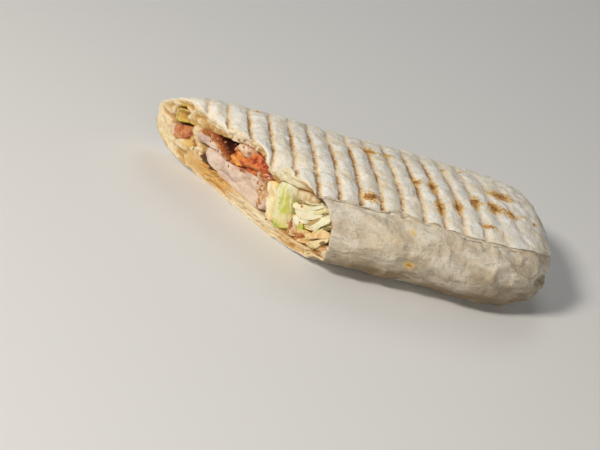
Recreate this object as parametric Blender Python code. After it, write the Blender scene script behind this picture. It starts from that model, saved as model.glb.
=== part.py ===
"""One half of a grilled chicken shawarma wrap, cut on the slant and lying on its flat underside.

Metres, +Z up. +X runs along the wrap from the slanted cut to the folded end, and +Y points to the
side where the cut's long corner is. The origin is the middle of the wrap's box, on the surface
that the wrap rests on. Most shapes are worked out in food coordinates, whose x is 0 at the cut's
long corner: place() moves them to the part's own frame.

The flatbread is one solid: its outside, two pockets that the filling lies in, and the slanted cut.
Each filling is a prism whose outline is its cell on the cut face. It runs through the wrap, and
narrows with it towards the folded end.
"""

import math

import bmesh
import bpy
import numpy as np

MM = 0.001

# Driving sizes of the wrap
LENGTH = 152 * MM
WIDTH = 77 * MM
THICK = 29.5 * MM
SLANT = 71 * MM  # how far along the wrap the cut runs from one side to the other
LEAN = -2 * MM  # how far the cut leans over the wrap's thickness
CUT_DROP = 1.8 * MM  # how much thinner the wrap is at the cut's long corner than in the middle
END_DROP = 5 * MM  # how much thinner it is at the folded end
TIP_SAG = 2.8 * MM  # how far the top has sunk at the cut's long corner
BACK_SAG = 1.4 * MM  # how far the top has sunk along the +Y side's shoulder
BACK_SWELL = 1.1 * MM  # how far it swells there nearer the cut
END_PLAN = 29 * MM  # length over which the folded end rounds, seen from above
END_SIDE = 17 * MM  # length over which it rounds, seen from the side
END_POWER = 2.4
SIDE_POWER = 2.8  # roundness of the section's sides
TOP_POWER = 3.4  # roundness of its top and bottom
FOOT = 0.35 * MM  # height of rounding that the weight of the wrap presses flat

# Marks of the ribbed grill
BAR_PITCH = 7.53 * MM
BAR_AT = 51 * MM  # one bar, on the wrap's middle line
BAR_SKEW = 0.125  # how far each bar turns from square, per unit of width
BAR_STRAIGHT_TO = 22 * MM
BAR_DEPTH = 1.3 * MM
BAR_REACH = 0.5  # half the width of a mark, as a share of the pitch
BAR_DEPTH_BELOW = 0.5 * MM
BAR_REACH_BELOW = 0.2

# The seam where the grilled sheet and the side flap overlap
SEAM_SHARE = 29.8 / 38.5  # how far out the seam lies, of the wrap's half width
SEAM_BUMP = 2.6 * MM
SEAM_BUMP_AT = 91 * MM
SEAM_BUMP_RUN = 4.5 * MM
SEAM_WAVE = 0.5 * MM
SEAM_WAVE_RUN = 5 * MM
SEAM_SWAP = 100 * MM  # before this the flap lies on top, after it the grilled sheet
SEAM_SWAP_RUN = 3 * MM
SHEET = 1.1 * MM  # thickness of one sheet of flatbread
UNDERCUT = 1.0 * MM

# The top sheet hangs down where it was cut: place across, width, depth and reach of each dip
DIPS = ((14 * MM, 9 * MM, 3.0 * MM, 4.5 * MM), (-12.8 * MM, 2.6 * MM, 4.8 * MM, 9 * MM))

# Soft dents in the side flap, where the filling presses it out less
DENT_DEPTH = 0.5 * MM

# The folded end
CREASE_DEPTH = 1.6 * MM
CREASE_HEIGHT = 0.05  # of the half thickness, above the middle
CREASE_WIDTH = 0.16

# The fillings
GAP = 0.3 * MM  # what each filling keeps clear of its neighbours' cells
RIM = 0.7 * MM  # rounding of a filling's cut face
POCKET_LEAD = 6 * MM  # how far the tool that opens a pocket starts before the cut
POCKET_END = 138.5 * MM
SQUARE_STATIONS = (78 * MM, 104 * MM, 124 * MM, 132 * MM, 137 * MM)  # sections square to the wrap
SLANTED_SHARES = (0.0, 0.25, 0.5, 0.75)  # sections between the cut and the first of those

# Stations of the flatbread within one pitch of the bars, and close to the folded end
WITHIN_PITCH = (0.0, 0.2, 0.5, 0.8)
BEFORE_END = (9 * MM, 6 * MM, 3.6 * MM, 1.8 * MM, 0.7 * MM, 0.12 * MM)

# Points round its section: shares of the half width along the top and the bottom, and of the half
# thickness up the sides
ROUND_TOP = (-0.60, -0.44, -0.26, -0.08, 0.10, 0.28, 0.45, 0.61, 0.75)
ROUND_BACK = (0.80, 0.55, 0.25, 0.05, -0.15, -0.45, -0.75)
ROUND_BOTTOM = (0.72, 0.56, 0.38, 0.15, -0.10, -0.38, -0.58, -0.74)
ROUND_FRONT = (-0.72, -0.40, -0.12, 0.05, 0.25, 0.50)

# Corners of the cells on the cut face, (across, up) in millimetres, seen square to the wrap's end:
# t along the pocket's top, r on its right, b along its bottom, i inside, a round the small pocket
CORNERS = {
    "t1": (20.3, 19.0), "t2": (11.5, 21.4), "t3": (4.6, 23.2), "t4": (3.2, 24.4),
    "t5": (-3.2, 25.4), "t6": (-6.4, 25.2), "t7": (-9.6, 23.6), "t8": (-11.4, 20.0),
    "t9": (-13.9, 19.6), "t10": (-15.4, 22.2), "t11": (-19.6, 23.2), "t12": (-27.6, 24.6),
    "t13": (-31.2, 24.2), "t14": (-33.6, 22.6),
    "r1": (-35.6, 19.4), "r5": (-35.7, 16.2), "r2": (-35.7, 13.0), "r3": (-35.4, 10.0), "r4": (-32.6, 7.0),
    "b1": (-24.0, 4.6), "b2": (-18.5, 4.6), "b3": (-14.8, 4.8), "b4": (-11.2, 5.1),
    "b5": (0.0, 6.0), "b6": (10.0, 6.5), "b7": (14.4, 7.0), "b8": (17.2, 9.4),
    "b9": (17.2, 12.6), "b10": (19.8, 13.6),
    "i1": (5.6, 18.8), "i2": (6.1, 14.1), "i3": (8.8, 14.6), "i4": (15.5, 15.0),
    "i5": (3.2, 21.6), "i6": (0.9, 19.6), "i7": (0.8, 15.6), "i8": (-4.6, 16.7),
    "i9": (-8.5, 17.4), "i10": (-10.6, 14.0), "i11": (-2.2, 21.2), "i12": (13.0, 7.9),
    "i13": (15.6, 11.4), "i14": (-14.4, 14.0), "i15": (-13.9, 8.5), "i16": (-20.9, 18.7),
    "i17": (-21.0, 13.2), "i18": (-19.5, 8.7), "i19": (-24.6, 18.9), "i20": (-27.9, 21.6),
    "i21": (-30.5, 13.2), "i22": (-25.6, 10.0),
    "a1": (31.8, 17.2), "a2": (30.8, 20.4), "a3": (28.4, 22.4), "a4": (25.6, 22.6),
    "a5": (24.4, 21.4), "a13": (26.9, 17.9), "a6": (23.2, 17.4), "a7": (23.8, 12.6),
    "a8": (25.8, 9.8), "a9": (30.2, 8.2), "a10": (31.8, 10.6), "a11": (32.0, 13.8),
    "a12": (27.4, 14.9),
}
MAIN_POCKET = (
    "t1 t2 t3 t4 t5 t6 t7 t8 t9 t10 t11 t12 t13 t14 r1 r5 r2 r3 r4 b1 b2 b3 b4 b5 b6 b7 b8 b9 b10"
)
SMALL_POCKET = "a1 a2 a3 a4 a5 a13 a6 a7 a8 a9 a10 a11"

# Shreds that stand out of the two cabbage cells at the cut. Each has its spine, as (across, up,
# depth behind the cut) in millimetres, then its width and how thick it is along the wrap.
PALE_SHREDS = (
    (((-22.4, 16.2, 2.4), (-25.8, 17.7, 1.2), (-29.2, 20.2, 1.0), (-32.0, 22.4, 2.4)), 2.2 * MM, 2.8 * MM),
    (((-23.0, 13.5, 2.4), (-26.4, 15.1, 1.2), (-30.2, 17.8, 1.2), (-33.6, 20.4, 2.4)), 2.0 * MM, 2.8 * MM),
    (((-25.2, 11.5, 2.4), (-28.4, 13.4, 1.4), (-31.4, 15.5, 1.4), (-34.2, 17.6, 2.4)), 1.7 * MM, 2.8 * MM),
)
SAUCY_SHREDS = (
    (((-22.2, 10.6, 2.4), (-23.4, 8.2, 1.5), (-24.6, 6.4, 2.4)), 2.2 * MM, 2.6 * MM),
    (((-26.4, 8.6, 2.4), (-29.0, 9.8, 1.4), (-31.8, 10.6, 1.5), (-34.0, 11.2, 2.4)), 1.9 * MM, 2.6 * MM),
    (((-26.6, 6.2, 2.4), (-29.2, 7.2, 1.5), (-32.2, 8.4, 2.4)), 1.7 * MM, 2.6 * MM),
)

# The line on the cut face beyond which the browned chicken falls back into a hollow
HOLLOW_EDGE = ((15.0, 20.5), (4.5, 15.0))
HOLLOW_DEPTH = 7 * MM

# The leaf in the small pocket, from its edge at the cut to how it lies further in
LEAF_AT_CUT = ((26.2, 21.5), (28.6, 20.9), (30.2, 18.8), (30.1, 16.4), (28.1, 16.1))
LEAF_INSIDE = ((25.7, 21.2), (27.8, 20.3), (29.0, 18.4), (29.2, 16.9), (27.8, 16.7))
LEAF_THICK = 0.9 * MM


def place(point):
    """Food coordinates to the part's frame."""
    x, y, z = point
    return (x - LENGTH / 2, y, z)


def signed_power(value, power):
    return math.copysign(abs(value) ** power, value)


def smooth_step(low, high, value):
    t = min(max((value - low) / (high - low), 0.0), 1.0)
    return t * t * (3 - 2 * t)


def bell(value, centre, width):
    return math.exp(-(((value - centre) / width) ** 2))


def thickness(x):
    drop = CUT_DROP if x < LENGTH / 2 else END_DROP
    return THICK - drop * (2 * x / LENGTH - 1) ** 2


def end_round(x, run):
    into = min(max((x - (LENGTH - run)) / run, 0.0), 1.0)
    return (1 - into**END_POWER) ** (1 / END_POWER)


def cut_wave(y, z):
    """The knife's path isn't quite flat."""
    return 0.45 * MM * math.sin(y / (6.1 * MM)) + 0.35 * MM * math.sin(z / (3.7 * MM) + y / (9 * MM))


def cut_x(y, z):
    """Where the slanted cut lies, at this place of the section."""
    return SLANT * (0.5 - y / WIDTH) + LEAN * (z / THICK - 0.5) + cut_wave(y, z)


def bar_share(x, y, reach):
    """1 at the bottom of a grill bar's mark, falling to 0 at this share of the pitch from it."""
    turns = (x - BAR_AT + BAR_SKEW * min(y, BAR_STRAIGHT_TO)) / BAR_PITCH
    off = abs(turns - round(turns)) / reach
    return max(0.0, 1 - off)


def bars_fade(x, y):
    """The marks are strong over the middle and the front, and fade at the back and both ends."""
    along = smooth_step(4 * MM, 22 * MM, x) * (1 - 0.75 * smooth_step(112 * MM, 140 * MM, x))
    return along * (1 - 0.6 * smooth_step(8 * MM, 34 * MM, y))


def dip(x, y, z):
    """How far the top sheet hangs down, just behind the cut."""
    behind = max(x - cut_x(y, z), 0.0)
    return sum(deep * bell(y, at, wide) * math.exp(-behind / reach) for at, wide, deep, reach in DIPS)


def tip_sag(x, y):
    return TIP_SAG * smooth_step(24 * MM, 36 * MM, y) * (1 - smooth_step(6 * MM, 18 * MM, x))


def back_sag(x, y):
    sunk = BACK_SAG * smooth_step(40 * MM, 70 * MM, x) * (1 - smooth_step(118 * MM, 145 * MM, x))
    swollen = BACK_SWELL * smooth_step(6 * MM, 16 * MM, x) * (1 - smooth_step(45 * MM, 70 * MM, x))
    return (sunk - swollen) * smooth_step(-6 * MM, 30 * MM, y)


def side_dent(x, z):
    """How far the side flap is pressed in at this place."""
    slow = math.sin(x / (11 * MM) + 2.2 * math.sin(z / (9 * MM)))
    quick = math.sin(x / (6.3 * MM) - z / (4.6 * MM) + 1.3)
    return DENT_DEPTH * (1.3 + slow + 0.6 * quick)


def outside(x, angle, lift=0.0):
    """A point of the flatbread's outside: angle 0 is the +Y side and 90 degrees is the top."""
    c = math.cos(angle)
    s = math.sin(angle)
    across = signed_power(c, 2 / SIDE_POWER)
    up = signed_power(s, 2 / TOP_POWER)
    half = WIDTH / 2 * end_round(x, END_PLAN)
    high = thickness(x)
    crease = smooth_step(LENGTH - 16 * MM, LENGTH - 3 * MM, x) * bell(up, CREASE_HEIGHT, CREASE_WIDTH)
    x = x - CREASE_DEPTH * crease
    y = (half + lift * abs(c) - CREASE_DEPTH * crease * 0.5) * across
    z = high / 2 + (high / 2 * end_round(x, END_SIDE) + lift * abs(s)) * up
    flap = smooth_step(-0.74, -0.88, across) * smooth_step(-0.85, -0.5, up)
    y += side_dent(x, z) * flap * end_round(x, END_PLAN)
    if up > 0:
        on_top = smooth_step(0.35, 0.85, up) * smooth_step(-0.84, -0.76, across) * bars_fade(x, y)
        z -= BAR_DEPTH * bar_share(x, y, BAR_REACH) ** 3 * on_top
        z -= (dip(x, y, z) + back_sag(x, y)) * smooth_step(0.5, 0.9, up)
        z -= tip_sag(x, y) * smooth_step(0.0, 0.7, up)
    else:
        z += BAR_DEPTH_BELOW * bar_share(x, y, BAR_REACH_BELOW) * smooth_step(0.8, 0.95, -up)
        z = max(z - FOOT, 0.0)
    return (x, y, z)


def angle_at(across=None, up=None):
    """The angle of the section's point this far across, or this far up, as shares of its half."""
    if across is not None:
        return math.acos(signed_power(across, SIDE_POWER / 2))
    return math.asin(signed_power(up, TOP_POWER / 2))


def seam_angle(x):
    """Where the seam lies in the section at this x. It wanders, and bulges up once over a rib."""
    shift = SEAM_BUMP * bell(x, SEAM_BUMP_AT, SEAM_BUMP_RUN) + SEAM_WAVE * math.sin(x / SEAM_WAVE_RUN)
    return angle_at(across=-SEAM_SHARE + shift / (WIDTH / 2))


def seam_lip(x):
    """Six points of the seam at this x. One sheet ends over the other and its edge is undercut."""
    middle = seam_angle(x)
    over = math.tanh((x - SEAM_SWAP) / SEAM_SWAP_RUN) * (1 - smooth_step(140 * MM, 149 * MM, x))
    step = abs(over)
    # Each entry is (along the surface towards the side, above the surface), both in metres.
    sheet_on_top = (
        (-2.4 * MM, SHEET), (-0.5 * MM, SHEET), (0.0, 0.55 * SHEET), (-UNDERCUT, 0.12 * MM),
        (0.9 * MM, 0.0), (2.2 * MM, 0.0),
    )
    flap_on_top = (
        (-2.4 * MM, 0.0), (-0.9 * MM, 0.0), (UNDERCUT, 0.12 * MM), (0.0, 0.55 * SHEET),
        (0.5 * MM, SHEET), (2.4 * MM, SHEET),
    )
    chosen = sheet_on_top if over > 0 else flap_on_top
    here = np.array(outside(x, middle))
    ahead = np.array(outside(x, middle + 0.01))
    speed = max(np.linalg.norm(ahead - here) / 0.01, 1e-3)
    points = []
    for k, (along, above) in enumerate(chosen):
        flat = (-2.4 + 0.95 * k) * MM  # where the points lie once both sheets are level
        reach = flat + (along - flat) * step
        points.append(outside(x, middle + reach / speed, above * step))
    return points


def outside_ring(x):
    """The points round the section at this x, from the seam over the top and back round to it."""
    angles = [angle_at(across=share) for share in ROUND_TOP]
    angles += [angle_at(up=share) for share in ROUND_BACK]
    angles += [-angle_at(across=share) for share in ROUND_BOTTOM]
    angles += [-math.pi - angle_at(up=share) for share in ROUND_FRONT]
    return [outside_skewed(x, angle) for angle in angles] + seam_lip_skewed(x)[::-1]


def skewed(x, y):
    """Stations follow the grill bars across the wrap, and stand square at the folded end."""
    share = 1 - smooth_step(118 * MM, 146 * MM, x)
    return x - BAR_SKEW * min(y, BAR_STRAIGHT_TO) * share


def outside_skewed(x, angle):
    y = outside(x, angle)[1]
    return outside(skewed(x, y), angle)


def seam_lip_skewed(x):
    y = outside(x, seam_angle(x))[1]
    return seam_lip(skewed(x, y))


def closed_solid(name, rings, colour, roughness=0.5):
    """A solid through rings of equal count, with both ends capped."""
    shape = bmesh.new()
    rows = [[shape.verts.new(place(p)) for p in ring] for ring in rings]
    for near, far in zip(rows, rows[1:]):
        for i, _ in enumerate(near):
            j = (i + 1) % len(near)
            shape.faces.new((near[i], near[j], far[j], far[i]))
    shape.faces.new(rows[0][::-1])
    shape.faces.new(rows[-1])
    bmesh.ops.triangulate(shape, faces=shape.faces[:])
    bmesh.ops.recalc_face_normals(shape, faces=shape.faces[:])
    if shape.calc_volume(signed=True) < 0:
        bmesh.ops.reverse_faces(shape, faces=shape.faces[:])
    mesh = bpy.data.meshes.new(name)
    shape.to_mesh(mesh)
    shape.free()
    mesh.materials.append(finish(name, colour, roughness))
    solid = bpy.data.objects.new(name, mesh)
    bpy.context.scene.collection.objects.link(solid)
    return solid


def finish(name, colour, roughness):
    material = bpy.data.materials.new(name)
    material.use_nodes = True
    shader = material.node_tree.nodes["Principled BSDF"]
    shader.inputs["Base Color"].default_value = (*colour, 1)
    shader.inputs["Roughness"].default_value = roughness
    shader.inputs["Metallic"].default_value = 0.0
    return material


def combine(target, tools, operation):
    """One Boolean of the target with a collection of tools, which it uses up."""
    group = bpy.data.collections.new("tools")
    bpy.context.scene.collection.children.link(group)
    for tool in tools:
        group.objects.link(tool)
        bpy.context.scene.collection.objects.unlink(tool)
    change = target.modifiers.new(operation.lower(), "BOOLEAN")
    change.operation = operation
    change.operand_type = "COLLECTION"
    change.collection = group
    change.solver = "EXACT"
    bpy.context.view_layer.objects.active = target
    bpy.ops.object.modifier_apply(modifier=change.name)
    for tool in tools:
        bpy.data.objects.remove(tool)
    bpy.data.collections.remove(group)


def cell(corners):
    """A cell's outline in metres, turning one way round, with its corners cut off."""
    sharp = np.array([CORNERS[c] for c in corners.split()]) * MM
    y, z = sharp.T
    if np.sum(y * np.roll(z, -1) - np.roll(y, -1) * z) < 0:
        sharp = sharp[::-1]
    following = np.roll(sharp, -1, axis=0)
    return np.stack((0.75 * sharp + 0.25 * following, 0.25 * sharp + 0.75 * following), 1).reshape(-1, 2)


def inset(outline, distance):
    """The outline with every side moved inwards by this much."""
    before = outline - np.roll(outline, 1, axis=0)
    after = np.roll(outline, -1, axis=0) - outline
    middle = sum(np.stack((-e[:, 1], e[:, 0]), 1) / np.hypot(*e.T)[:, None] for e in (before, after))
    scale = 2 / np.maximum((middle**2).sum(1), 0.8)
    return outline + middle * (scale * distance)[:, None]


def squeezed(x, y, z):
    """A filling's place (y, z) on the cut face, carried along the wrap to x."""
    share = z / thickness(SLANT * (0.5 - y / WIDTH))
    rise = 0.5 + (share - 0.5) * end_round(x, END_SIDE)
    return (x, y * end_round(x, END_PLAN), thickness(x) * rise)


def prism(outline, depth_at, edge=0.0, further=()):
    """Rings of a filling or a pocket from the cut to its end. depth_at gives how deep behind the
    cut its face lies, edge how far its rim is rounded back, and further any stations at its end."""
    rings = []
    if edge:
        face = inset(outline, edge)
        rings.append([squeezed(cut_x(y, z) + depth_at(y, z), y, z) for y, z in face])
    starts = [cut_x(y, z) + depth_at(y, z) + edge for y, z in outline]
    first = SQUARE_STATIONS[0]
    for share in SLANTED_SHARES:
        rings.append([squeezed(x + (first - x) * share, y, z) for x, (y, z) in zip(starts, outline)])
    for x in SQUARE_STATIONS + further:
        rings.append([squeezed(x, y, z) for y, z in outline])
    return rings


def level(depth):
    return lambda y, z: depth


def filling(name, corners, colour, roughness, depth_at):
    outline = inset(cell(corners), GAP)
    return closed_solid(name, prism(outline, depth_at, RIM), colour, roughness)


def pocket(corners):
    rings = prism(cell(corners), level(-POCKET_LEAD), further=(POCKET_END,))
    return closed_solid("pocket", rings, (1, 1, 1))


def strip(spine, width, thick):
    """A shred on the cut face, with four sides and thinner ends."""
    spine = np.array(spine) * MM
    rings = []
    for k, (y, z, depth) in enumerate(spine):
        ahead = spine[min(k + 1, len(spine) - 1)] - spine[max(k - 1, 0)]
        side = np.array((-ahead[1], ahead[0])) / math.hypot(ahead[0], ahead[1])
        taper = 0.6 if k in (0, len(spine) - 1) else 1.0
        ring = []
        for u, v in ((-1, -1), (1, -1), (1, 1), (-1, 1)):
            py, pz = (y, z) + side * u * width / 2 * taper
            ring.append((cut_x(py, pz) + depth + v * thick / 2 * taper, py, pz))
        rings.append(ring)
    return closed_solid("strip", rings, (1, 1, 1))


def band(from_angle, to_angle, offset, width, depth):
    """A thin tool that opens the gap between two layers of flatbread at the cut."""
    steps = 14
    near = []
    far = []
    for k in range(steps + 1):
        angle = from_angle + (to_angle - from_angle) * k / steps
        y = outside(SLANT / 2, angle)[1]
        x = max(cut_x(y, THICK / 2), 0.0)
        near.append(outside(x, angle, -offset)[1:])
        far.append(outside(x, angle, -offset - width)[1:])
    loop = near + far[::-1]
    rings = [[(cut_x(y, z) + x, y, z) for y, z in loop] for x in (-2 * MM, depth)]
    return closed_solid("layer_gap", rings, (1, 1, 1))


def knife():
    """The block that takes away everything before the slanted cut."""
    rows = 9
    columns = 26
    shape = bmesh.new()
    grid = []
    for i in range(columns + 1):
        y = (i / columns - 0.5) * 1.25 * WIDTH
        line = []
        for j in range(rows + 1):
            z = (j / rows * 1.5 - 0.25) * THICK
            line.append(shape.verts.new(place((cut_x(y, z), y, z))))
        grid.append(line)
    for i in range(columns):
        for j in range(rows):
            shape.faces.new((grid[i][j], grid[i + 1][j], grid[i + 1][j + 1], grid[i][j + 1]))
    skin = bmesh.ops.extrude_face_region(shape, geom=shape.faces[:])
    for v in skin["geom"]:
        if isinstance(v, bmesh.types.BMVert):
            v.co.x = -LENGTH
    bmesh.ops.triangulate(shape, faces=shape.faces[:])
    bmesh.ops.recalc_face_normals(shape, faces=shape.faces[:])
    mesh = bpy.data.meshes.new("knife")
    shape.to_mesh(mesh)
    shape.free()
    block = bpy.data.objects.new("knife", mesh)
    bpy.context.scene.collection.objects.link(block)
    return block


def flatbread():
    first = math.floor(-(BAR_AT + POCKET_LEAD) / BAR_PITCH)
    last = math.floor((POCKET_END - BAR_AT) / BAR_PITCH)
    stations = [BAR_AT + (n + share) * BAR_PITCH for n in range(first, last) for share in WITHIN_PITCH]
    stations += [LENGTH - before for before in BEFORE_END]
    bread = closed_solid("flatbread", [outside_ring(x) for x in stations], (0.83, 0.74, 0.60), 0.8)
    tools = [
        knife(),
        pocket(MAIN_POCKET),
        pocket(SMALL_POCKET),
        band(math.radians(-165), math.radians(-62), 1.3 * MM, 0.5 * MM, 2.2 * MM),
        band(math.radians(-150), math.radians(-20), 2.9 * MM, 0.5 * MM, 1.6 * MM),
        band(math.radians(-8), math.radians(60), 1.3 * MM, 0.5 * MM, 1.8 * MM),
    ]
    for tool in tools:
        combine(bread, [tool], "DIFFERENCE")
    return bread


def browned_depth(y, z):
    """The browned piece falls back into the dark hollow beside the peppers."""
    y0, z0 = np.array(HOLLOW_EDGE[0]) * MM
    y1, z1 = np.array(HOLLOW_EDGE[1]) * MM
    beyond = ((y - y0) * (z1 - z0) - (z - z0) * (y1 - y0)) / math.hypot(y1 - y0, z1 - z0)
    return HOLLOW_DEPTH * smooth_step(0.2 * MM, 2.4 * MM, beyond)


def leaf():
    """A thin wavy leaf: it lines the small pocket at the cut and lies across it further in."""
    start = np.array(LEAF_AT_CUT) * MM
    inside = np.array(LEAF_INSIDE) * MM
    rings = []
    for depth, share in ((0.8, 0.0), (3.0, 0.35), (6.0, 1.0), (14.0, 0.6), (26.0, 0.9), (45.0, 0.4)):
        spine = start + (inside - start) * share
        rings.append((spine, depth * MM, None))
    for x, share in zip(SQUARE_STATIONS, (0.8, 0.3, 0.8, 0.6, 0.5)):
        rings.append((start + (inside - start) * share, 0.0, x))
    loops = []
    for spine, depth, at in rings:
        ahead = np.gradient(spine, axis=0)
        side = np.stack((-ahead[:, 1], ahead[:, 0]), 1) / np.linalg.norm(ahead, axis=1)[:, None]
        loop = np.concatenate((spine + side * LEAF_THICK / 2, (spine - side * LEAF_THICK / 2)[::-1]))
        loops.append([squeezed(at or cut_x(y, z) + depth, y, z) for y, z in loop])
    return closed_solid("pocket_leaf", loops, (0.52, 0.50, 0.13), 0.4)


def shredded(name, corners, colour, roughness, depth, strips):
    core = filling(name, corners, colour, roughness, level(depth))
    combine(core, [strip(*s) for s in strips], "UNION")


def fillings():
    filling("chicken_slice", "i4 i3 i2 i7 i8 i9 i10 b4 b5 b6 i12 i13", (0.62, 0.43, 0.34), 0.5, level(0.0))
    filling("chicken_browned", "t1 t2 t3 i1 i2 i3 i4 b10", (0.55, 0.28, 0.14), 0.5, browned_depth)
    filling("pepper_small", "i1 i5 i6 i7 i2", (0.78, 0.22, 0.04), 0.35, level(1.2 * MM))
    filling("onion_piece", "t3 t4 t5 i11 i6 i5 i1", (0.78, 0.66, 0.52), 0.35, level(1.6 * MM))
    filling("pepper_large", "t5 t6 t7 t8 i10 i9 i8 i7 i6 i11", (0.66, 0.15, 0.03), 0.35, level(-0.8 * MM))
    filling("cabbage_leaf", "t8 t9 i14 i15 b3 b4 i10", (0.80, 0.64, 0.36), 0.5, level(0.8 * MM))
    filling("lettuce_rib", "t9 t10 t11 i16 i17 i18 b2 b3 i15 i14", (0.62, 0.66, 0.28), 0.4, level(-0.4 * MM))
    filling("onion_layer", "t11 t12 i20 i19 i16", (0.62, 0.50, 0.33), 0.4, level(2.4 * MM))
    filling("tomato_piece", "a6 a7 a8 a9 a10 a11 a12", (0.70, 0.20, 0.12), 0.35, level(0.3 * MM))
    leaf()
    pale = (0.80, 0.68, 0.34)
    shredded("cabbage_shreds", "i16 i19 i20 t12 t13 t14 r1 r5 i21 i22 i17", pale, 0.45, 2.8 * MM, PALE_SHREDS)
    peach = (0.78, 0.45, 0.22)
    shredded("cabbage_in_sauce", "i17 i22 i21 r5 r2 r3 r4 b1 b2 i18", peach, 0.4, 2.4 * MM, SAUCY_SHREDS)


def main():
    for old in list(bpy.data.objects):
        bpy.data.objects.remove(old)
    flatbread()
    fillings()


main()
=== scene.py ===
# %% [markdown]
# # Half of a grilled chicken shawarma wrap
#
# The real thing is a thin sheet of flatbread, rolled round chicken, peppers, cabbage and sauce,
# pressed in a ribbed grill and cut on the slant. The frame holds one plain solid for the bread and
# one for each filling. This lesson dresses every one of them: it rebuilds the same form with the
# folds, torn edges and scorched ribs that a plain solid leaves out, and gives each its own finish.

# %% Load the frame
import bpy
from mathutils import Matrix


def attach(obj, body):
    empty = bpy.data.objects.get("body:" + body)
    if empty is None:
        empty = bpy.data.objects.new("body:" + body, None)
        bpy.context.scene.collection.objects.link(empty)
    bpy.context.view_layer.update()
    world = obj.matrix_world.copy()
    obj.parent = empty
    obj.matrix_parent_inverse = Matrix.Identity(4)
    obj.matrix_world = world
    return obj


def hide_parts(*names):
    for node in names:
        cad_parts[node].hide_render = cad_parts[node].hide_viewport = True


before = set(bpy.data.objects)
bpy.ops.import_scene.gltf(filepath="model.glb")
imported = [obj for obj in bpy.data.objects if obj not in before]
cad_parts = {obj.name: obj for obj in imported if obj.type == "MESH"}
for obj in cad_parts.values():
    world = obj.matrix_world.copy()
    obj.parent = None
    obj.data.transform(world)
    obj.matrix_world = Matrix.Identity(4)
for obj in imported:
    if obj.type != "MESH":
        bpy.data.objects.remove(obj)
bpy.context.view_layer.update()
print("solids in the frame:", len(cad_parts))

# %% [markdown]
# ## Camera
#
# A photograph's view is three turns and a place. Here the camera looks down at the wrap from in
# front. It is rolled too, because the wrap in the photograph was tilted, and this one lies flat. We
# build the camera's own axes from those turns, which is easier to check than Euler angles.

# %% Set up the camera
import itertools
import math

import bmesh
import bpy
import numpy as np
from mathutils import Matrix, Vector
from mathutils.geometry import delaunay_2d_cdt

MM = 0.001
EYE = Vector((-56.5, -428.1, 209.9)) * MM
TURN = math.radians(5.65)
TILT = math.radians(26.08)
ROLL = math.radians(16.35)
FOCAL_LENGTH = 78
SENSOR_WIDTH = 36

ahead = Vector((math.sin(TURN) * math.cos(TILT), math.cos(TURN) * math.cos(TILT), -math.sin(TILT)))
level = ahead.cross(Vector((0, 0, 1))).normalized()
upright = level.cross(ahead)
right = level * math.cos(ROLL) + upright * math.sin(ROLL)
up = upright * math.cos(ROLL) - level * math.sin(ROLL)
camera = bpy.data.objects.new("camera", bpy.data.cameras.new("camera"))
bpy.context.scene.collection.objects.link(camera)
camera.data.lens = FOCAL_LENGTH
camera.data.sensor_width = SENSOR_WIDTH
camera.matrix_world = Matrix.Translation(EYE) @ Matrix((right, up, -ahead)).transposed().to_4x4()
bpy.context.scene.camera = camera
print("camera is", round(EYE.length, 3), "m from the middle of the wrap's base")

# %% [markdown]
# ## Light
#
# Food looks best in a soft light from above and one side, with weaker light filling the shadows.
# So there is a warm key light, a broad fill from the front, a white light from behind and a faint
# sky. The Standard view keeps the bread's pale tones as bright as the photograph's.

# %% Add the lights
LIT_PLACE = Vector((0, 0, 0.015))  # the middle of the wrap
STUDIO = (  # name, place, size, power and colour of each light
    ("key_light", (-0.60, -0.42, 0.62), 0.20, 6.6, (1.0, 0.955, 0.88)),
    ("front_fill", (0.25, -1.0, 0.35), 0.6, 1.5, (1.0, 0.97, 0.92)),
    ("back_light", (0.1, 0.7, 0.7), 0.4, 1.3, (1, 1, 1)),
)
SKY_COLOUR = (0.95, 0.97, 1.0, 1)
SKY_STRENGTH = 0.16


def softbox(name, place, size, power, colour):
    """An area light at this place that shines on the middle of the wrap."""
    light = bpy.data.lights.new(name, "AREA")
    light.size = size
    light.energy = power
    light.color = colour
    lamp = bpy.data.objects.new(name, light)
    lamp.location = place
    lamp.rotation_euler = (LIT_PLACE - Vector(place)).to_track_quat("-Z", "Y").to_euler()
    bpy.context.scene.collection.objects.link(lamp)


for one_light in STUDIO:
    softbox(*one_light)
world = bpy.data.worlds.new("studio")
world.use_nodes = True
sky = world.node_tree.nodes["Background"].inputs
sky["Color"].default_value = SKY_COLOUR
sky["Strength"].default_value = SKY_STRENGTH
bpy.context.scene.world = world
bpy.context.scene.view_settings.view_transform = "Standard"
print("lights:", ", ".join(name for name, *_ in STUDIO))

# %% [markdown]
# ## Floor
#
# The floor is one large square. Its finish comes at the end, when the helpers for finishes are there.

# %% Add the floor
FLOOR_SIZE = 6.0
floor_corners = [(x * FLOOR_SIZE / 2, y * FLOOR_SIZE / 2, 0) for x, y in ((-1, -1), (1, -1), (1, 1), (-1, 1))]
floor_mesh = bpy.data.meshes.new("floor")
floor_mesh.from_pydata(floor_corners, [], [(0, 1, 2, 3)])
floor = bpy.data.objects.new("floor", floor_mesh)
bpy.context.scene.collection.objects.link(floor)
print("floor is", FLOOR_SIZE, "m wide")

# %% [markdown]
# ## Sums for organic shapes
#
# Bread and salad have no straight lines, so every shape here is a smooth rule plus some noise. The
# noise is a lattice of repeatable random numbers, blended in between, and it is the same each run.
# Adding finer and finer copies of it gives a crumbly surface.

# %% Write the number helpers
def smooth_step(low, high, value):
    t = np.clip((value - low) / (high - low), 0, 1)
    return t * t * (3 - 2 * t)


def bell(value, centre, width):
    return np.exp(-(((value - centre) / width) ** 2))


def signed_power(value, power):
    return np.sign(value) * np.abs(value) ** power


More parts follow.
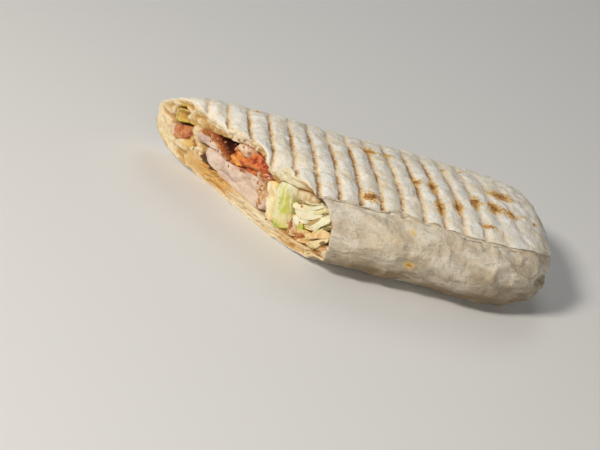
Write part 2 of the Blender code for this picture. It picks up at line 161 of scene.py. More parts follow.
def random_at(cell, seed):
    """A repeatable random number from -1 to 1 for each whole-numbered place."""
    mixed = cell @ np.array((73856093, 19349663, 83492791)) + seed * 6700417
    for shift in (13, 17, 11):
        mixed = (mixed ^ (mixed >> shift)) * 1274126177 & 0x7FFFFFFFFFFF
    return (mixed >> 9 & 0xFFFF) / 0x7FFF - 1


def noise(points, size, seed):
    """Smooth random heights from -1 to 1, with bumps about this many millimetres apart."""
    scaled = np.asarray(points, float) / size
    cell = np.floor(scaled).astype(np.int64)
    inside = scaled - cell
    weight = inside * inside * (3 - 2 * inside)
    total = 0.0
    for corner in itertools.product((0, 1), repeat=3):
        share = np.prod(np.where(corner, weight, 1 - weight), axis=-1)
        total = total + share * random_at(cell + np.array(corner), seed)
    return total


def rough(points, size, seed, octaves=3):
    return sum(noise(points, size / 2**k, seed + k) / 2**k for k in range(octaves))


def ridges(points, size, seed):
    """Sharp creases, 1 along their lines and falling to 0 between them."""
    return (1 - np.abs(noise(points, size, seed))) ** 3


def to_points(x, y, z):
    return np.stack(np.broadcast_arrays(x, y, z), -1).astype(float)


print("noise sample:", np.round(noise([[0.3, 0.4, 0.5], [5.1, 2.2, 3.3]], 2.0, 1), 3))

# %% [markdown]
# ## The size of the wrap
#
# The bread's outside is a rounded box that narrows to a folded end. Seen along the wrap, each
# section is a superellipse: a circle whose sides are pressed flatter. These sizes, in millimetres,
# are the frame's own, with x measured from the long corner of the cut, so that what we make
# fits the solids.

# %% Name the wrap's sizes
LENGTH = 152
WIDTH = 77
THICK = 29.5
SLANT = 71  # how far along the wrap the cut runs from side to side
LEAN = -2
CUT_DROP = 1.8
END_DROP = 5
TIP_SAG = 2.8
BACK_SAG = 1.4
BACK_SWELL = 1.1
END_PLAN = 29
END_SIDE = 17
END_POWER = 2.4
SIDE_POWER = 2.8
TOP_POWER = 3.4
FOOT = 0.35
CREASE_DEPTH = 1.6
CREASE_HEIGHT = 0.05
CREASE_WIDTH = 0.16
DENT_DEPTH = 0.5
DIPS = ((14, 9, 3.0, 4.5), (-12.8, 2.6, 4.8, 9))  # place across, width, depth and reach of each
print("wrap of", LENGTH, "by", WIDTH, "by", THICK, "mm")

# %% [markdown]
# ## Rules for the form
#
# Each feature of the form is one small function: how thick the wrap is, how its end rounds off,
# where the knife went, and where the top sags towards the cut or the back. A filling runs on behind
# the cut by a rule too, so that it narrows with the wrap.

# %% Write the rules for the form
def place(points):
    """Millimetres along the wrap to metres in the frame."""
    return (np.asarray(points) - (LENGTH / 2, 0, 0)) * MM


def thickness(x):
    return THICK - np.where(x < LENGTH / 2, CUT_DROP, END_DROP) * (2 * x / LENGTH - 1) ** 2


def end_round(x, run):
    into = np.clip((x - (LENGTH - run)) / run, 0, 1)
    return (1 - into**END_POWER) ** (1 / END_POWER)


def cut_x(y, z):
    """Where the slanted cut lies, with the slight waves of the knife's path."""
    wave = 0.45 * np.sin(y / 6.1) + 0.35 * np.sin(z / 3.7 + y / 9)
    return SLANT * (0.5 - y / WIDTH) + LEAN * (z / THICK - 0.5) + wave


def dip(x, y, z):
    behind = np.maximum(x - cut_x(y, z), 0)
    return sum(deep * bell(y, at, wide) * np.exp(-behind / reach) for at, wide, deep, reach in DIPS)


def tip_sag(x, y):
    return TIP_SAG * smooth_step(24, 36, y) * (1 - smooth_step(6, 18, x))


def back_sag(x, y):
    sunk = BACK_SAG * smooth_step(40, 70, x) * (1 - smooth_step(118, 145, x))
    swollen = BACK_SWELL * smooth_step(6, 16, x) * (1 - smooth_step(45, 70, x))
    return (sunk - swollen) * smooth_step(-6, 30, y)


def side_dent(x, z):
    return DENT_DEPTH * (1.3 + np.sin(x / 11 + 2.2 * np.sin(z / 9)) + 0.6 * np.sin(x / 6.3 - z / 4.6 + 1.3))


def carried(x, y, z):
    """A filling's place (y, z) on the cut face, carried along the wrap to x."""
    share = z / thickness(SLANT * (0.5 - y / WIDTH))
    rise = 0.5 + (share - 0.5) * end_round(x, END_SIDE)
    return to_points(x, y * end_round(x, END_PLAN), thickness(x) * rise)


along_wrap = (0, LENGTH / 2, LENGTH)
print("thickness at the cut, the middle and the end:", [round(float(thickness(x)), 1) for x in along_wrap])

# %% [markdown]
# ## Grill marks
#
# The grill's ribs press a row of valleys into the top sheet, 7.5 mm apart and slightly turned.
# Between them the bread puffs up like small pillows, so a valley has a sharp bottom and soft
# shoulders. The same distances to the nearest valley will colour the scorch marks later, so the
# marks and the valleys always agree.

# %% Measure distances to the grill's ribs
BAR_PITCH = 7.53
BAR_AT = 51
BAR_SKEW = 0.125
BAR_STRAIGHT_TO = 22
BAR_DEPTH = 1.35
BAR_CUSP = 0.05  # share of the pitch over which a valley's bottom is rounded
BAR_WANDER = 0.35
BAR_REACH_BELOW = 0.2
BAR_DEPTH_BELOW = 0.5


def bar_turns(x, y):
    """How many ribs lie between this place and the first one, with a little wandering."""
    wander = BAR_WANDER * noise(to_points(x, y, 0.0), 14, 5)
    return (x - BAR_AT + BAR_SKEW * np.minimum(y, BAR_STRAIGHT_TO) + wander) / BAR_PITCH


def bar_distance(x, y, shift=0.0):
    """Millimetres to the line that runs this far beside the nearest rib's middle."""
    turns = bar_turns(x, y) - shift / BAR_PITCH
    return np.abs(turns - np.round(turns)) * BAR_PITCH


def bars_fade(x, y):
    along = smooth_step(4, 22, x) * (1 - 0.75 * smooth_step(112, 140, x))
    return along * (1 - 0.6 * smooth_step(8, 34, y))


def valley(x, y):
    off = np.hypot(bar_distance(x, y) / BAR_PITCH, BAR_CUSP) * 2 - BAR_CUSP
    return np.clip(1 - off, 0, 1) ** 2.3


def grilled(across, up, x, y):
    """Where the grill's ribs reached the top sheet."""
    on_top = smooth_step(0.35, 0.85, up) * smooth_step(-0.80, -0.765, across)
    return on_top * bars_fade(x, y)


def outside(x, angle, lift=0.0):
    """A point of the bread's outside: angle 0 is the +Y side and a quarter turn is the top."""
    c = np.cos(angle)
    s = np.sin(angle)
    across = signed_power(c, 2 / SIDE_POWER)
    up = signed_power(s, 2 / TOP_POWER)
    half = WIDTH / 2 * end_round(x, END_PLAN)
    high = thickness(x)
    crease = smooth_step(LENGTH - 16, LENGTH - 3, x) * bell(up, CREASE_HEIGHT, CREASE_WIDTH)
    x = x - CREASE_DEPTH * crease
    y = (half + lift * np.abs(c) - CREASE_DEPTH * crease * 0.5) * across
    z = high / 2 + (high / 2 * end_round(x, END_SIDE) + lift * np.abs(s)) * up
    flap = smooth_step(-0.74, -0.88, across) * smooth_step(-0.85, -0.5, up)
    y = y + side_dent(x, z) * flap * end_round(x, END_PLAN)
    top = z - BAR_DEPTH * valley(x, y) * grilled(across, up, x, y)
    top = top - (dip(x, y, z) + back_sag(x, y)) * smooth_step(0.5, 0.9, up)
    top = top - tip_sag(x, y) * smooth_step(0, 0.7, up)
    below = np.clip(1 - bar_distance(x, y) / BAR_PITCH / BAR_REACH_BELOW, 0, 1) * smooth_step(0.8, 0.95, -up)
    bottom = np.maximum(z + BAR_DEPTH_BELOW * below - FOOT, 0)
    return to_points(x, y, np.where(up > 0, top, bottom))


def angle_across(share):
    return np.arccos(signed_power(share, SIDE_POWER / 2))


print("ribs along the sheet:", int(LENGTH / BAR_PITCH), "and valleys up to", BAR_DEPTH, "mm deep")

# %% [markdown]
# ## The seam
#
# Along the front, one sheet ends over the other. Near the cut the plain side flap lies on top, and
# further back the grilled sheet does, with a ragged, undercut edge and a dark gap beneath it. We
# draw the edge's profile as six points, cut its corners until it is smooth, and bend it round the
# section. A blend that changes sign swaps which sheet is on top.

# %% Shape the seam
SEAM_SHARE = 29.8 / 38.5
SEAM_BUMP = 2.6
SEAM_BUMP_AT = 91
SEAM_BUMP_RUN = 4.5
SEAM_WAVE = 0.5
SEAM_WAVE_RUN = 5
SEAM_SWAP = 100
SEAM_SWAP_RUN = 3
SHEET = 1.1  # thickness of one sheet of bread
UNDERCUT = 1.0
LIP_REACH = 2.4
SHEET_ON_TOP = ((-2.4, SHEET), (-0.5, SHEET), (0, 0.55 * SHEET), (-UNDERCUT, 0.1), (0.9, 0), (2.4, 0))
FLAP_ON_TOP = ((-2.4, 0), (-0.9, 0), (0, 0.1), (0, 0.3 * SHEET), (0.5, 0.6 * SHEET), (2.4, 0.6 * SHEET))


def cut_corners(points, times, closed=True):
    """Rounds a line by cutting its corners; an open line keeps its ends."""
    points = np.asarray(points, float)
    for _ in range(times):
        following = np.roll(points, -1, axis=0)
        pairs = np.stack((0.75 * points + 0.25 * following, 0.25 * points + 0.75 * following), 1)
        if closed:
            points = pairs.reshape(-1, points.shape[1])
        else:
            points = np.concatenate((points[:1], pairs[:-1].reshape(-1, points.shape[1]), points[-1:]))
    return points


def seam_angle(x):
    shift = SEAM_BUMP * bell(x, SEAM_BUMP_AT, SEAM_BUMP_RUN) + SEAM_WAVE * np.sin(x / SEAM_WAVE_RUN)
    shift = shift + 0.35 * noise(to_points(x, 0.0, 0.0), 3.1, 8)
    return angle_across(-SEAM_SHARE + shift / (WIDTH / 2))


def along_seam(x, reach):
    """The angle that lies this many millimetres round the section from the seam."""
    middle = seam_angle(x)
    half = np.maximum(WIDTH / 2 * end_round(x, END_PLAN), 1)
    return middle + reach / (0.95 * half)


lip_over = cut_corners(SHEET_ON_TOP, 2, closed=False)
lip_under = cut_corners(FLAP_ON_TOP, 2, closed=False)
LIP = len(lip_over)
print("points across the seam's lip:", LIP)

# %% [markdown]
# ## The bread's skin
#
# The skin is a grid of rings, like a stocking: each ring starts on the cut and the last one closes
# at the folded end. Rings are spaced evenly along the wrap, then by a sine where the end turns in,
# so no quad is stretched. Round the wrap, points are closer on the top and the front, where the
# marks are. The first ring is found by repeating one step: put the point on the cut, see how far
# across it is, and put it on the cut again.

# %% Lay out the skin's grid
RINGS = 190
END_RINGS = 40
END_RUN = 16
ROUND = 236
SPREAD = 4001  # places round one section, to measure its length
SETTLING_STEPS = 60

middle_x = LENGTH / 2
spread_angles = seam_angle(np.array([middle_x])) + np.linspace(0, 2 * math.pi, SPREAD)
section = outside(np.full(SPREAD, middle_x), spread_angles)
steps = np.linalg.norm(np.diff(section, axis=0), axis=1)
middle_yz = (section[1:] + section[:-1])[:, 1:] / 2
shows = np.maximum(smooth_step(4, 9, middle_yz[:, 1]) * smooth_step(30, 20, middle_yz[:, 0]), 0.0)
shows = np.maximum(shows, smooth_step(18, 24, middle_yz[:, 1]))
filled = np.concatenate(([0], np.cumsum(steps * (0.42 + 0.58 * shows))))
round_shares = np.interp(np.linspace(0, filled[-1], ROUND), filled, np.linspace(0, 1, SPREAD))


def skin_point(x):
    """The points of one ring, where x has one value for each point: lip first, then the rest."""
    x_lip = x[..., :LIP]
    x_rest = x[..., LIP:]
    over = np.tanh((x_lip - SEAM_SWAP) / SEAM_SWAP_RUN) * (1 - smooth_step(143, 150, x_lip))
    level_line = np.linspace(-LIP_REACH, LIP_REACH, LIP)
    chosen = np.where((over > 0)[..., None], lip_over, lip_under)
    ragged = 0.45 * rough(to_points(x_lip, 0.0, 0.0), 1.9, 21) * bell(np.linspace(-1, 1, LIP), 0, 0.5)
    reach = level_line + (chosen[..., 0] + ragged - level_line) * np.abs(over)
    lip = outside(x_lip, along_seam(x_lip, reach), chosen[..., 1] * np.abs(over))
    start = along_seam(x_rest, LIP_REACH)
    finish_at = along_seam(x_rest, -LIP_REACH) + 2 * math.pi
    angle = start + (finish_at - start) * round_shares
    return np.concatenate((lip, outside(x_rest, angle)), axis=-2), angle


first_x = np.full(LIP + ROUND, SLANT / 2)
for _ in range(SETTLING_STEPS):
    ring, _ = skin_point(first_x)
    first_x = 0.5 * first_x + 0.5 * cut_x(ring[:, 1], ring[:, 2])
along = np.linspace(0, 1, RINGS, endpoint=False)[:, None]
straight = first_x + (LENGTH - END_RUN - first_x) * along
turn_in = np.linspace(math.asin((1 - END_RUN / END_PLAN) ** (END_POWER / 2)), math.pi / 2, END_RINGS + 1)[:-1]
bend = LENGTH - END_PLAN + END_PLAN * np.sin(turn_in)[:, None] ** (2 / END_POWER)
grid_x = np.concatenate((straight, bend + 0 * first_x))
skin, rest_angle = skin_point(grid_x)
miss = np.abs(skin[0, :, 0] - cut_x(skin[0, :, 1], skin[0, :, 2])).max()
print("skin grid:", skin.shape[:2], "and the first ring misses the cut by", round(float(miss), 4), "mm")

# %% [markdown]
# ## Where flap, ribs and underside are
#
# The relief and the colours both depend on where a point is. So each point of the grid gets a few
# shares from 0 to 1: whether it lies on the flap, whether the ribs reached it, and whether it is
# on the underside. A point's normal comes from the grid's two directions.

# %% Sort the skin's points
def grid_normals(points):
    down = np.gradient(points, axis=0)
    side = np.roll(points, -1, axis=1) - np.roll(points, 1, axis=1)
    normal = np.cross(down, side)
    normal /= np.maximum(np.linalg.norm(normal, axis=-1, keepdims=True), 1e-9)
    outward = points - to_points(points[..., 0], 0.0, THICK / 2)
    return normal * np.sign(np.sum(np.sum(normal * outward, -1)))


rest_across = signed_power(np.cos(rest_angle), 2 / SIDE_POWER)
rest_up = signed_power(np.sin(rest_angle), 2 / TOP_POWER)
lip_share = np.broadcast_to(np.linspace(-1, 1, LIP), grid_x[:, :LIP].shape)
across = np.concatenate((-SEAM_SHARE - 0.06 * lip_share, rest_across), axis=1)
up_share = np.concatenate((np.full(lip_share.shape, 0.8), rest_up), axis=1)
x, y, z = np.moveaxis(skin, -1, 0)

swapped = np.tanh((grid_x[:, :LIP] - SEAM_SWAP) / SEAM_SWAP_RUN)
lip_flap = smooth_step(-0.15, 0.15, lip_share + 0.1 * swapped)
flap = np.concatenate((lip_flap, smooth_step(-SEAM_SHARE, -SEAM_SHARE - 0.02, rest_across)), axis=1)
flap = flap * smooth_step(-0.99, -0.9, up_share)
ribbed = grilled(across, up_share, x, y) * (1 - flap)
under = smooth_step(-0.8, -0.95, up_share)
print("flap takes", round(100 * float(flap.mean())), "percent of the skin's points")

# %% [markdown]
# ## Wrinkles, blisters and folds
#
# Real flatbread is never smooth: it has fine wrinkles between the ribs, small baked blisters, and
# long soft folds where the side flap is pulled round the filling. All of these move the skin along
# its own normal. The underside was pressed, so little of it is left there. Where the seam's lip
# meets the cut, points lie close together, so the relief fades and the edge can't cross itself.

# %% Add relief to the skin
EDGE_SOFT = 0.9  # over this distance the edge at the cut is rounded
EDGE_ROUND = 0.45  # by this depth

relief = 0.2 * rough(skin, 7, 31) + 0.2 * rough(skin, 2.4, 35, 2) * (1 - 0.6 * flap)
relief = relief + 0.4 * ridges(skin * (1, 0.5, 1), 3.6, 37) * (1 - flap) * smooth_step(0.2, 0.7, up_share)
blisters = np.maximum(noise(skin, 3.6, 41) - 0.4, 0)
relief += blisters * (1 - flap) * smooth_step(0.2, 0.7, up_share)
pull = skin * (0.38, 1.0, 1.0) + (0, 0, 0.22) * skin[..., :1]
folds = 0.8 * noise(pull, 7.5, 51) + 1.1 * ridges(pull, 6.5, 53) - 0.6
crinkles = 0.5 * rough(skin * (0.7, 1, 1), 2.6, 55, 2) * smooth_step(-0.4, 0.4, noise(skin, 12, 57))
crinkles = crinkles + 0.62 * ridges(pull, 3.1, 59) - 0.2
relief += flap * (folds + crinkles + 0.07 * rough(skin, 1.3, 58, 1))
relief *= 1 - 0.85 * under
behind = np.maximum(x - cut_x(y, z), 0)
relief -= EDGE_ROUND * (1 - np.sqrt(1 - np.clip(1 - behind / EDGE_SOFT, 0, 1) ** 2))
relief[:, :LIP] *= np.abs(lip_share) ** 2
column = np.arange(LIP + ROUND)
from_lip_ends = np.minimum(np.abs(column - LIP), np.minimum(column, LIP + ROUND - column))
relief *= 1 - smooth_step(8, 3, from_lip_ends) * smooth_step(7, 2, behind)
dressed = skin + grid_normals(skin) * relief[..., None]
print("skin relief from", round(float(relief.min()), 2), "to", round(float(relief.max()), 2), "mm")

# %% [markdown]
# ## A torn edge
#
# A knife tears soft bread a little, and most over the hollow in the filling, where nothing held the
# sheet. The edge ring slides along the wrap by some noise, and the rings behind it follow less and
# less, so that no quad folds over.

# %% Tear the edge at the cut
TORN = 0.45
TEAR_REACH = 4

torn = TORN * rough(dressed[0], 2.2, 61) + 0.25 * noise(dressed[0], 6, 64) + 0.2 * noise(dressed[0], 0.9, 66)
top_of_hollow = bell(dressed[0, :, 1], 4, 9) * smooth_step(20, 23, dressed[0, :, 2])
torn = torn + 1.8 * np.abs(rough(dressed[0], 1.9, 67)) * top_of_hollow
slide = cut_x(dressed[0, :, 1], dressed[0, :, 2]) + torn - dressed[0, :, 0]
dressed[..., 0] += slide * np.clip(1 - behind / TEAR_REACH, 0, 1) ** 2
dressed[..., 2] = np.maximum(dressed[..., 2], 0)
print("edge is torn by", round(float(torn.min()), 2), "to", round(float(torn.max()), 2), "mm")

# %% [markdown]
# ## The cut face of the bread
#
# Where the knife went through, the bread shows as stacked thin sheets, crumpled folds at the tip,
# and a crumbly band under the top. It is the space between the outside and the pockets that the
# fillings lie in. Neighbouring fillings share named corners, in millimetres across and up, so an
# outline is just a list of names and neighbours always fit.

# %% Name the corners of the fillings' cells
CORNERS = {
    "t1": (20.3, 19.0), "t2": (11.5, 21.4), "t3": (4.6, 23.2), "t4": (3.2, 24.4),
    "t5": (-3.2, 25.4), "t6": (-6.4, 25.2), "t7": (-9.6, 23.6), "t8": (-11.4, 20.0),
    "t9": (-13.9, 19.6), "t10": (-15.4, 22.2), "t11": (-19.6, 23.2), "t12": (-27.6, 24.6),
    "t13": (-31.2, 24.2), "t14": (-33.6, 22.6),
    "r1": (-35.6, 19.4), "r5": (-35.7, 16.2), "r2": (-35.7, 13.0), "r3": (-35.4, 10.0), "r4": (-32.6, 7.0),
    "b1": (-24.0, 4.6), "b2": (-18.5, 4.6), "b3": (-14.8, 4.8), "b4": (-11.2, 5.1),
    "b5": (0.0, 6.0), "b6": (10.0, 6.5), "b7": (14.4, 7.0), "b8": (17.2, 9.4),
    "b9": (17.2, 12.6), "b10": (19.8, 13.6),
    "i1": (5.6, 18.8), "i2": (6.1, 14.1), "i3": (8.8, 14.6), "i4": (15.5, 15.0),
    "i5": (3.2, 21.6), "i6": (0.9, 19.6), "i7": (0.8, 15.6), "i8": (-4.6, 16.7),
    "i9": (-8.5, 17.4), "i10": (-10.6, 14.0), "i11": (-2.2, 21.2), "i12": (13.0, 7.9),
    "i13": (15.6, 11.4), "i14": (-14.4, 14.0), "i15": (-13.9, 8.5), "i16": (-20.9, 18.7),
    "i17": (-21.0, 13.2), "i18": (-19.5, 8.7), "i19": (-24.6, 18.9), "i20": (-27.9, 21.6),
    "i21": (-30.5, 13.2), "i22": (-25.6, 10.0),
    "a1": (31.8, 17.2), "a2": (30.8, 20.4), "a3": (28.4, 22.4), "a4": (25.6, 22.6),
    "a5": (24.4, 21.4), "a13": (26.9, 17.9), "a6": (23.2, 17.4), "a7": (23.8, 12.6),
    "a8": (25.8, 9.8), "a9": (30.2, 8.2), "a10": (31.8, 10.6), "a11": (32.0, 13.8),
    "a12": (27.4, 14.9),
}
MAIN_POCKET = (
    "t1 t2 t3 t4 t5 t6 t7 t8 t9 t10 t11 t12 t13 t14 r1 r5 r2 r3 r4 b1 b2 b3 b4 b5 b6 b7 b8 b9 b10"
)
SMALL_POCKET = "a1 a2 a3 a4 a5 a13 a6 a7 a8 a9 a10 a11"
print("named corners:", len(CORNERS))

# %% [markdown]
# ## Soft outlines
#
# Food has no sharp corners. An outline's corners are cut until they are round, its points are
# spaced evenly, and it can be moved inwards to leave room for a rim.

# %% Round, measure and inset an outline

def even_line(points, spacing, closed=True):
    """The same line with its points evenly spaced."""
    if closed:
        points = np.concatenate((points, points[:1]))
    gone = np.concatenate(([0], np.cumsum(np.linalg.norm(np.diff(points, axis=0), axis=1))))
    count = max(int(round(gone[-1] / spacing)), 6)
    at = np.linspace(0, gone[-1], count + (not closed), endpoint=not closed)
    return np.stack([np.interp(at, gone, column) for column in points.T], 1)


def cell(corners, spacing=0.5):
    """A cell's outline, turning anticlockwise, with rounded corners and even points."""
    sharp = np.array([CORNERS[c] for c in corners.split()])
    y, z = sharp.T
    if np.sum(y * np.roll(z, -1) - np.roll(y, -1) * z) < 0:
        sharp = sharp[::-1]
    return even_line(cut_corners(sharp, 3), spacing)


def distance_to(points, outline):
    """How far each point is from the outline's nearest side."""
    start = outline
    run = np.roll(outline, -1, axis=0) - outline
    apart = np.asarray(points)[:, None] - start
    share = np.clip((apart * run).sum(-1) / np.maximum((run**2).sum(-1), 1e-12), 0, 1)
    return np.linalg.norm(apart - share[..., None] * run, axis=-1).min(1)


def inset(outline, distance):
    """The outline moved inwards. Where it would cross itself, its points go on a line instead."""
    before = outline - np.roll(outline, 1, axis=0)
    after = np.roll(outline, -1, axis=0) - outline
    normal = 0
    for side in (before, after):
        across_side = np.stack((-side[:, 1], side[:, 0]), 1)
        normal = normal + across_side / np.linalg.norm(side, axis=1)[:, None]
    scale = 2 / np.maximum((normal**2).sum(1), 0.8)
    moved = outline + normal * (scale * distance)[:, None]
    kept = distance_to(moved, outline) > 0.96 * distance - 0.01
    index = np.arange(len(moved))
    return np.stack([np.interp(index, index[kept], column[kept], period=len(moved)) for column in moved.T], 1)


print("main pocket's outline has", len(cell(MAIN_POCKET)), "points")

# %% [markdown]
# ## Triangles between outlines
#
# A cut face is flat but has a free outline, so a grid doesn't fit it. We scatter points over it at
# even distances, a little off a square pattern, and let a constrained Delaunay triangulation join
# them. It keeps every outline whole, which lets the face share its rim's points with its walls.

# %% Fill an outline with triangles
def is_inside(points, outline):
    """Whether each point lies inside the outline, by counting the sides that a ray crosses."""
    y, z = np.asarray(points).T[:, :, None]
    y0, z0 = outline.T
    y1, z1 = np.roll(outline, -1, axis=0).T
    crosses = (z0 > z) != (z1 > z)
    at = y0 + (z - z0) * (y1 - y0) / np.where(z1 == z0, 1e-12, z1 - z0)
    return (crosses & (y < at)).sum(1) % 2 == 1


def fill_outline(outer, holes=(), spacing=0.45, seed=1):
    """Triangles over the outline, clear of its holes. The outlines' own points come first."""
    rng = np.random.default_rng(seed)
    low = outer.min(0)
    high = outer.max(0)
    counts = ((high - low) / spacing).astype(int)
    spots = np.stack(np.meshgrid(*[np.arange(n) for n in counts], indexing="ij"), -1).reshape(-1, 2)
    spots = low + (spots + 0.5 + rng.uniform(-0.3, 0.3, spots.shape)) * spacing
    keep = is_inside(spots, outer) & (distance_to(spots, outer) > 0.5 * spacing)
    for hole in holes:
        keep &= ~is_inside(spots, hole) & (distance_to(spots, hole) > 0.5 * spacing)
    lines = (outer, *holes)
    starts = np.cumsum([0] + [len(line) for line in lines])
    edges = [
        (int(start + i), int(start + (i + 1) % len(line)))
        for start, line in zip(starts, lines) for i in range(len(line))
    ]
    points = np.concatenate((*lines, spots[keep]))
    made, _, faces, origins, *_ = delaunay_2d_cdt([Vector(p) for p in points], edges, [], 0, 1e-7)
    first = [origin[0] if origin else -1 for origin in origins]
    faces = np.array([[first[i] for i in face] for face in faces])
    faces = faces[(faces >= 0).all(1)]
    middles = points[faces].mean(1)
    inside = is_inside(middles, outer)
    for hole in holes:
        inside &= ~is_inside(middles, hole)
    return points, faces[inside]


edge_ring = dressed[0]
main_line = cell(MAIN_POCKET)
small_line = cell(SMALL_POCKET)
rim_yz, rim_faces = fill_outline(edge_ring[:, 1:], (main_line, small_line), 0.42, 3)
print("cut face of the bread:", len(rim_yz), "points and", len(rim_faces), "triangles")

# %% [markdown]
# ## Stacked sheets and crumpled folds
#
# Each sheet of bread is about a millimetre thick, so a groove goes in at every step of that size
# from the outside. Noise bends the grooves and lets them fade, because the sheets stick together
# in places. The tip is crumpled instead, with deeper folds. Under the top there is a ragged band
# that falls back behind the top sheet's edge, and is crumbliest over the hollow in the filling.

# %% Push the cut face back into the bread
LAYER = 1.25  # from one sheet of bread to the next
GROOVE = 0.19  # share of that which a groove takes


def rim_depth(yz, from_outside, from_pocket):
    """How far behind the cut the bread's face lies, at each place of it."""
    y, z = yz.T
    flat = to_points(0.0, y, z)
    tip = smooth_step(17, 23, y)
    low = smooth_step(11, 7, z) * (1 - tip)
    high = smooth_step(15, 19, z) * (1 - tip)
    top_right = smooth_step(-13, -17, y) * high
    bent = from_outside + 0.55 * rough(flat, 4, 71) * smooth_step(0, 1.5, from_outside)
    turns = bent / LAYER
    groove = np.exp(-(((turns - np.round(turns)) / GROOVE) ** 2)) * smooth_step(0.5, 1.0, from_outside)
    groove *= smooth_step(-0.55, 0.15, noise(flat, 5, 75))
    sheets = 1.9 * groove * (1 - 0.6 * tip) + 0.8 * np.abs(rough(to_points(bent * 2, y, z), 2.6, 79))
    sheets = sheets + 0.35 * noise(to_points(np.round(turns) * 9, y, z), 7, 77)
    folds = 2.1 * ridges(flat, 4.2, 81) - 0.3
    folds = folds + 0.9 * ridges(flat, 2.3, 83) * smooth_step(1.0, 2.5, from_outside)
    crumbs = 1.5 * np.abs(rough(flat, 1.7, 85)) + 0.6 * noise(flat, 3.4, 87) - 0.25
    depth = low * sheets + tip * folds * smooth_step(0.2, 1.6, from_outside)
    middle = (1 - low) * (1 - tip)
    crumbs = crumbs + (2.2 * ridges(flat, 2.6, 89) - 0.7) * bell(y, 4, 9) * high
    depth += middle * crumbs * smooth_step(0.1, 0.9, from_outside)
    depth += high * 1.1 * smooth_step(0.8, 2.0, from_outside) * (1 - top_right)
    depth += top_right * (0.4 + 2.8 * smooth_step(-21, -25, y)) * smooth_step(1.0, 1.8, from_outside)
    depth += 0.5 * bell(from_pocket, 0, 0.35)
    return np.maximum(depth, -0.3) * smooth_step(0, 0.35, from_outside)


from_outside = distance_to(rim_yz, edge_ring[:, 1:])
from_pocket = np.minimum(distance_to(rim_yz, main_line), distance_to(rim_yz, small_line))
depth = rim_depth(rim_yz, from_outside, from_pocket)
rim = to_points(cut_x(*rim_yz.T) + depth, *rim_yz.T)
rim[:len(edge_ring)] = edge_ring
print("cut face is pushed back by up to", round(float(depth.max()), 2), "mm")

# %% [markdown]
# ## Rings behind the cut, and a closed mesh
#
# Bread and fillings run on behind the cut in the same way: an outline is carried along the wrap,
# ring by ring, close together at first and wider apart further in. One helper makes the rings, one
# joins two rings with quads, and one builds a mesh whose faces all point out.

# %% Write the mesh helpers
SQUARE_STATIONS = (78, 104, 124, 132, 137)  # places along the wrap, past the cut's far corner
NEAR_DEPTHS = (0.5, 1.1, 1.9, 3, 4.5, 6.5, 9, 13)
BETWEEN = (0.25, 0.5, 0.75)  # shares of the way from the last of these to the first station


def rings_behind(outline, start, stations):
    """Rings of an outline from its start behind the cut, along the wrap, to these stations."""
    y, z = outline.T
    rings = [carried(start + near, y, z) for near in NEAR_DEPTHS]
    begin = start + NEAR_DEPTHS[-1]
    rings += [carried(begin + (stations[0] - begin) * share, y, z) for share in BETWEEN]
    return rings + [carried(np.full(len(y), float(x)), y, z) for x in stations]


def ring_faces(start, next_start, count):
    here = np.arange(count)
    there = (here + 1) % count
    return np.stack((start + here, start + there, next_start + there, next_start + here), 1)


def build(name, points, faces, fields=None):
    """A closed mesh object with its faces pointing out, and a number for each point per field."""
    mesh = bpy.data.meshes.new(name)
    mesh.from_pydata(place(points).tolist(), [], faces)
    for field, values in (fields or {}).items():
        mesh.attributes.new(field, "FLOAT", "POINT").data.foreach_set("value", np.asarray(values, np.float32))
    shape = bmesh.new()
    shape.from_mesh(mesh)
    bmesh.ops.recalc_face_normals(shape, faces=shape.faces[:])
    if shape.calc_volume(signed=True) < 0:
        bmesh.ops.reverse_faces(shape, faces=shape.faces[:])
    open_edges = sum(len(edge.link_faces) != 2 for edge in shape.edges)
    shape.to_mesh(mesh)
    shape.free()
    mesh.shade_smooth()
    made = bpy.data.objects.new(name, mesh)
    bpy.context.scene.collection.objects.link(made)
    print(name, "has", len(mesh.polygons), "faces and", open_edges, "open edges")
    return made


print("rings behind an outline:", len(NEAR_DEPTHS) + len(BETWEEN) + len(SQUARE_STATIONS))

# %% [markdown]
# ## The pockets, and one closed sheet
#
# Behind the face, each pocket runs on into the wrap, so that gaps between fillings look into
# bread and not into nothing. Its rings start at the face's own points. Skin, face and pockets share
# their points, so the whole bread is one closed mesh, as one rolled sheet should be.

# %% Join skin, face and pockets into one mesh
POCKET_END = 138.5

skin_points = dressed.reshape(-1, 3)
columns = LIP + ROUND
bread_points = [skin_points, rim[columns:]]
bread_faces = [
    face for k in range(len(grid_x) - 1)
    for face in ring_faces(k * columns, (k + 1) * columns, columns).tolist()
]
bread_faces.append(((len(grid_x) - 1) * columns + np.arange(columns)).tolist())
shift = len(skin_points) - columns
bread_faces += np.where(rim_faces < columns, rim_faces, rim_faces + shift).tolist()
pocket_count = 0
line_start = len(skin_points)
for line in (main_line, small_line):
    begin = np.arange(line_start, line_start + len(line))
    face_x = rim[begin - shift, 0]
    rings = rings_behind(line, face_x, SQUARE_STATIONS + (POCKET_END,))
    previous = line_start
    at = len(skin_points) + len(rim) - columns + pocket_count
    for ring in rings:
        bread_faces += ring_faces(previous, at, len(line)).tolist()
        previous = at
        at += len(line)
    bread_faces.append(np.arange(previous, previous + len(line)).tolist())
    bread_points.append(np.concatenate(rings))
    pocket_count += len(rings) * len(line)
    line_start += len(line)
bread_points = np.concatenate(bread_points)
print("bread mesh:", len(bread_points), "points and", len(bread_faces), "faces")

# %% [markdown]
# ## Toasted patches
#
# Besides the scorched lines, the sheet has a few baked patches, most of them towards the folded
# end, and the flap has two small blisters. They are listed by place and size. Their sum is a
# smooth hill at each patch, and the material will break up its edge.

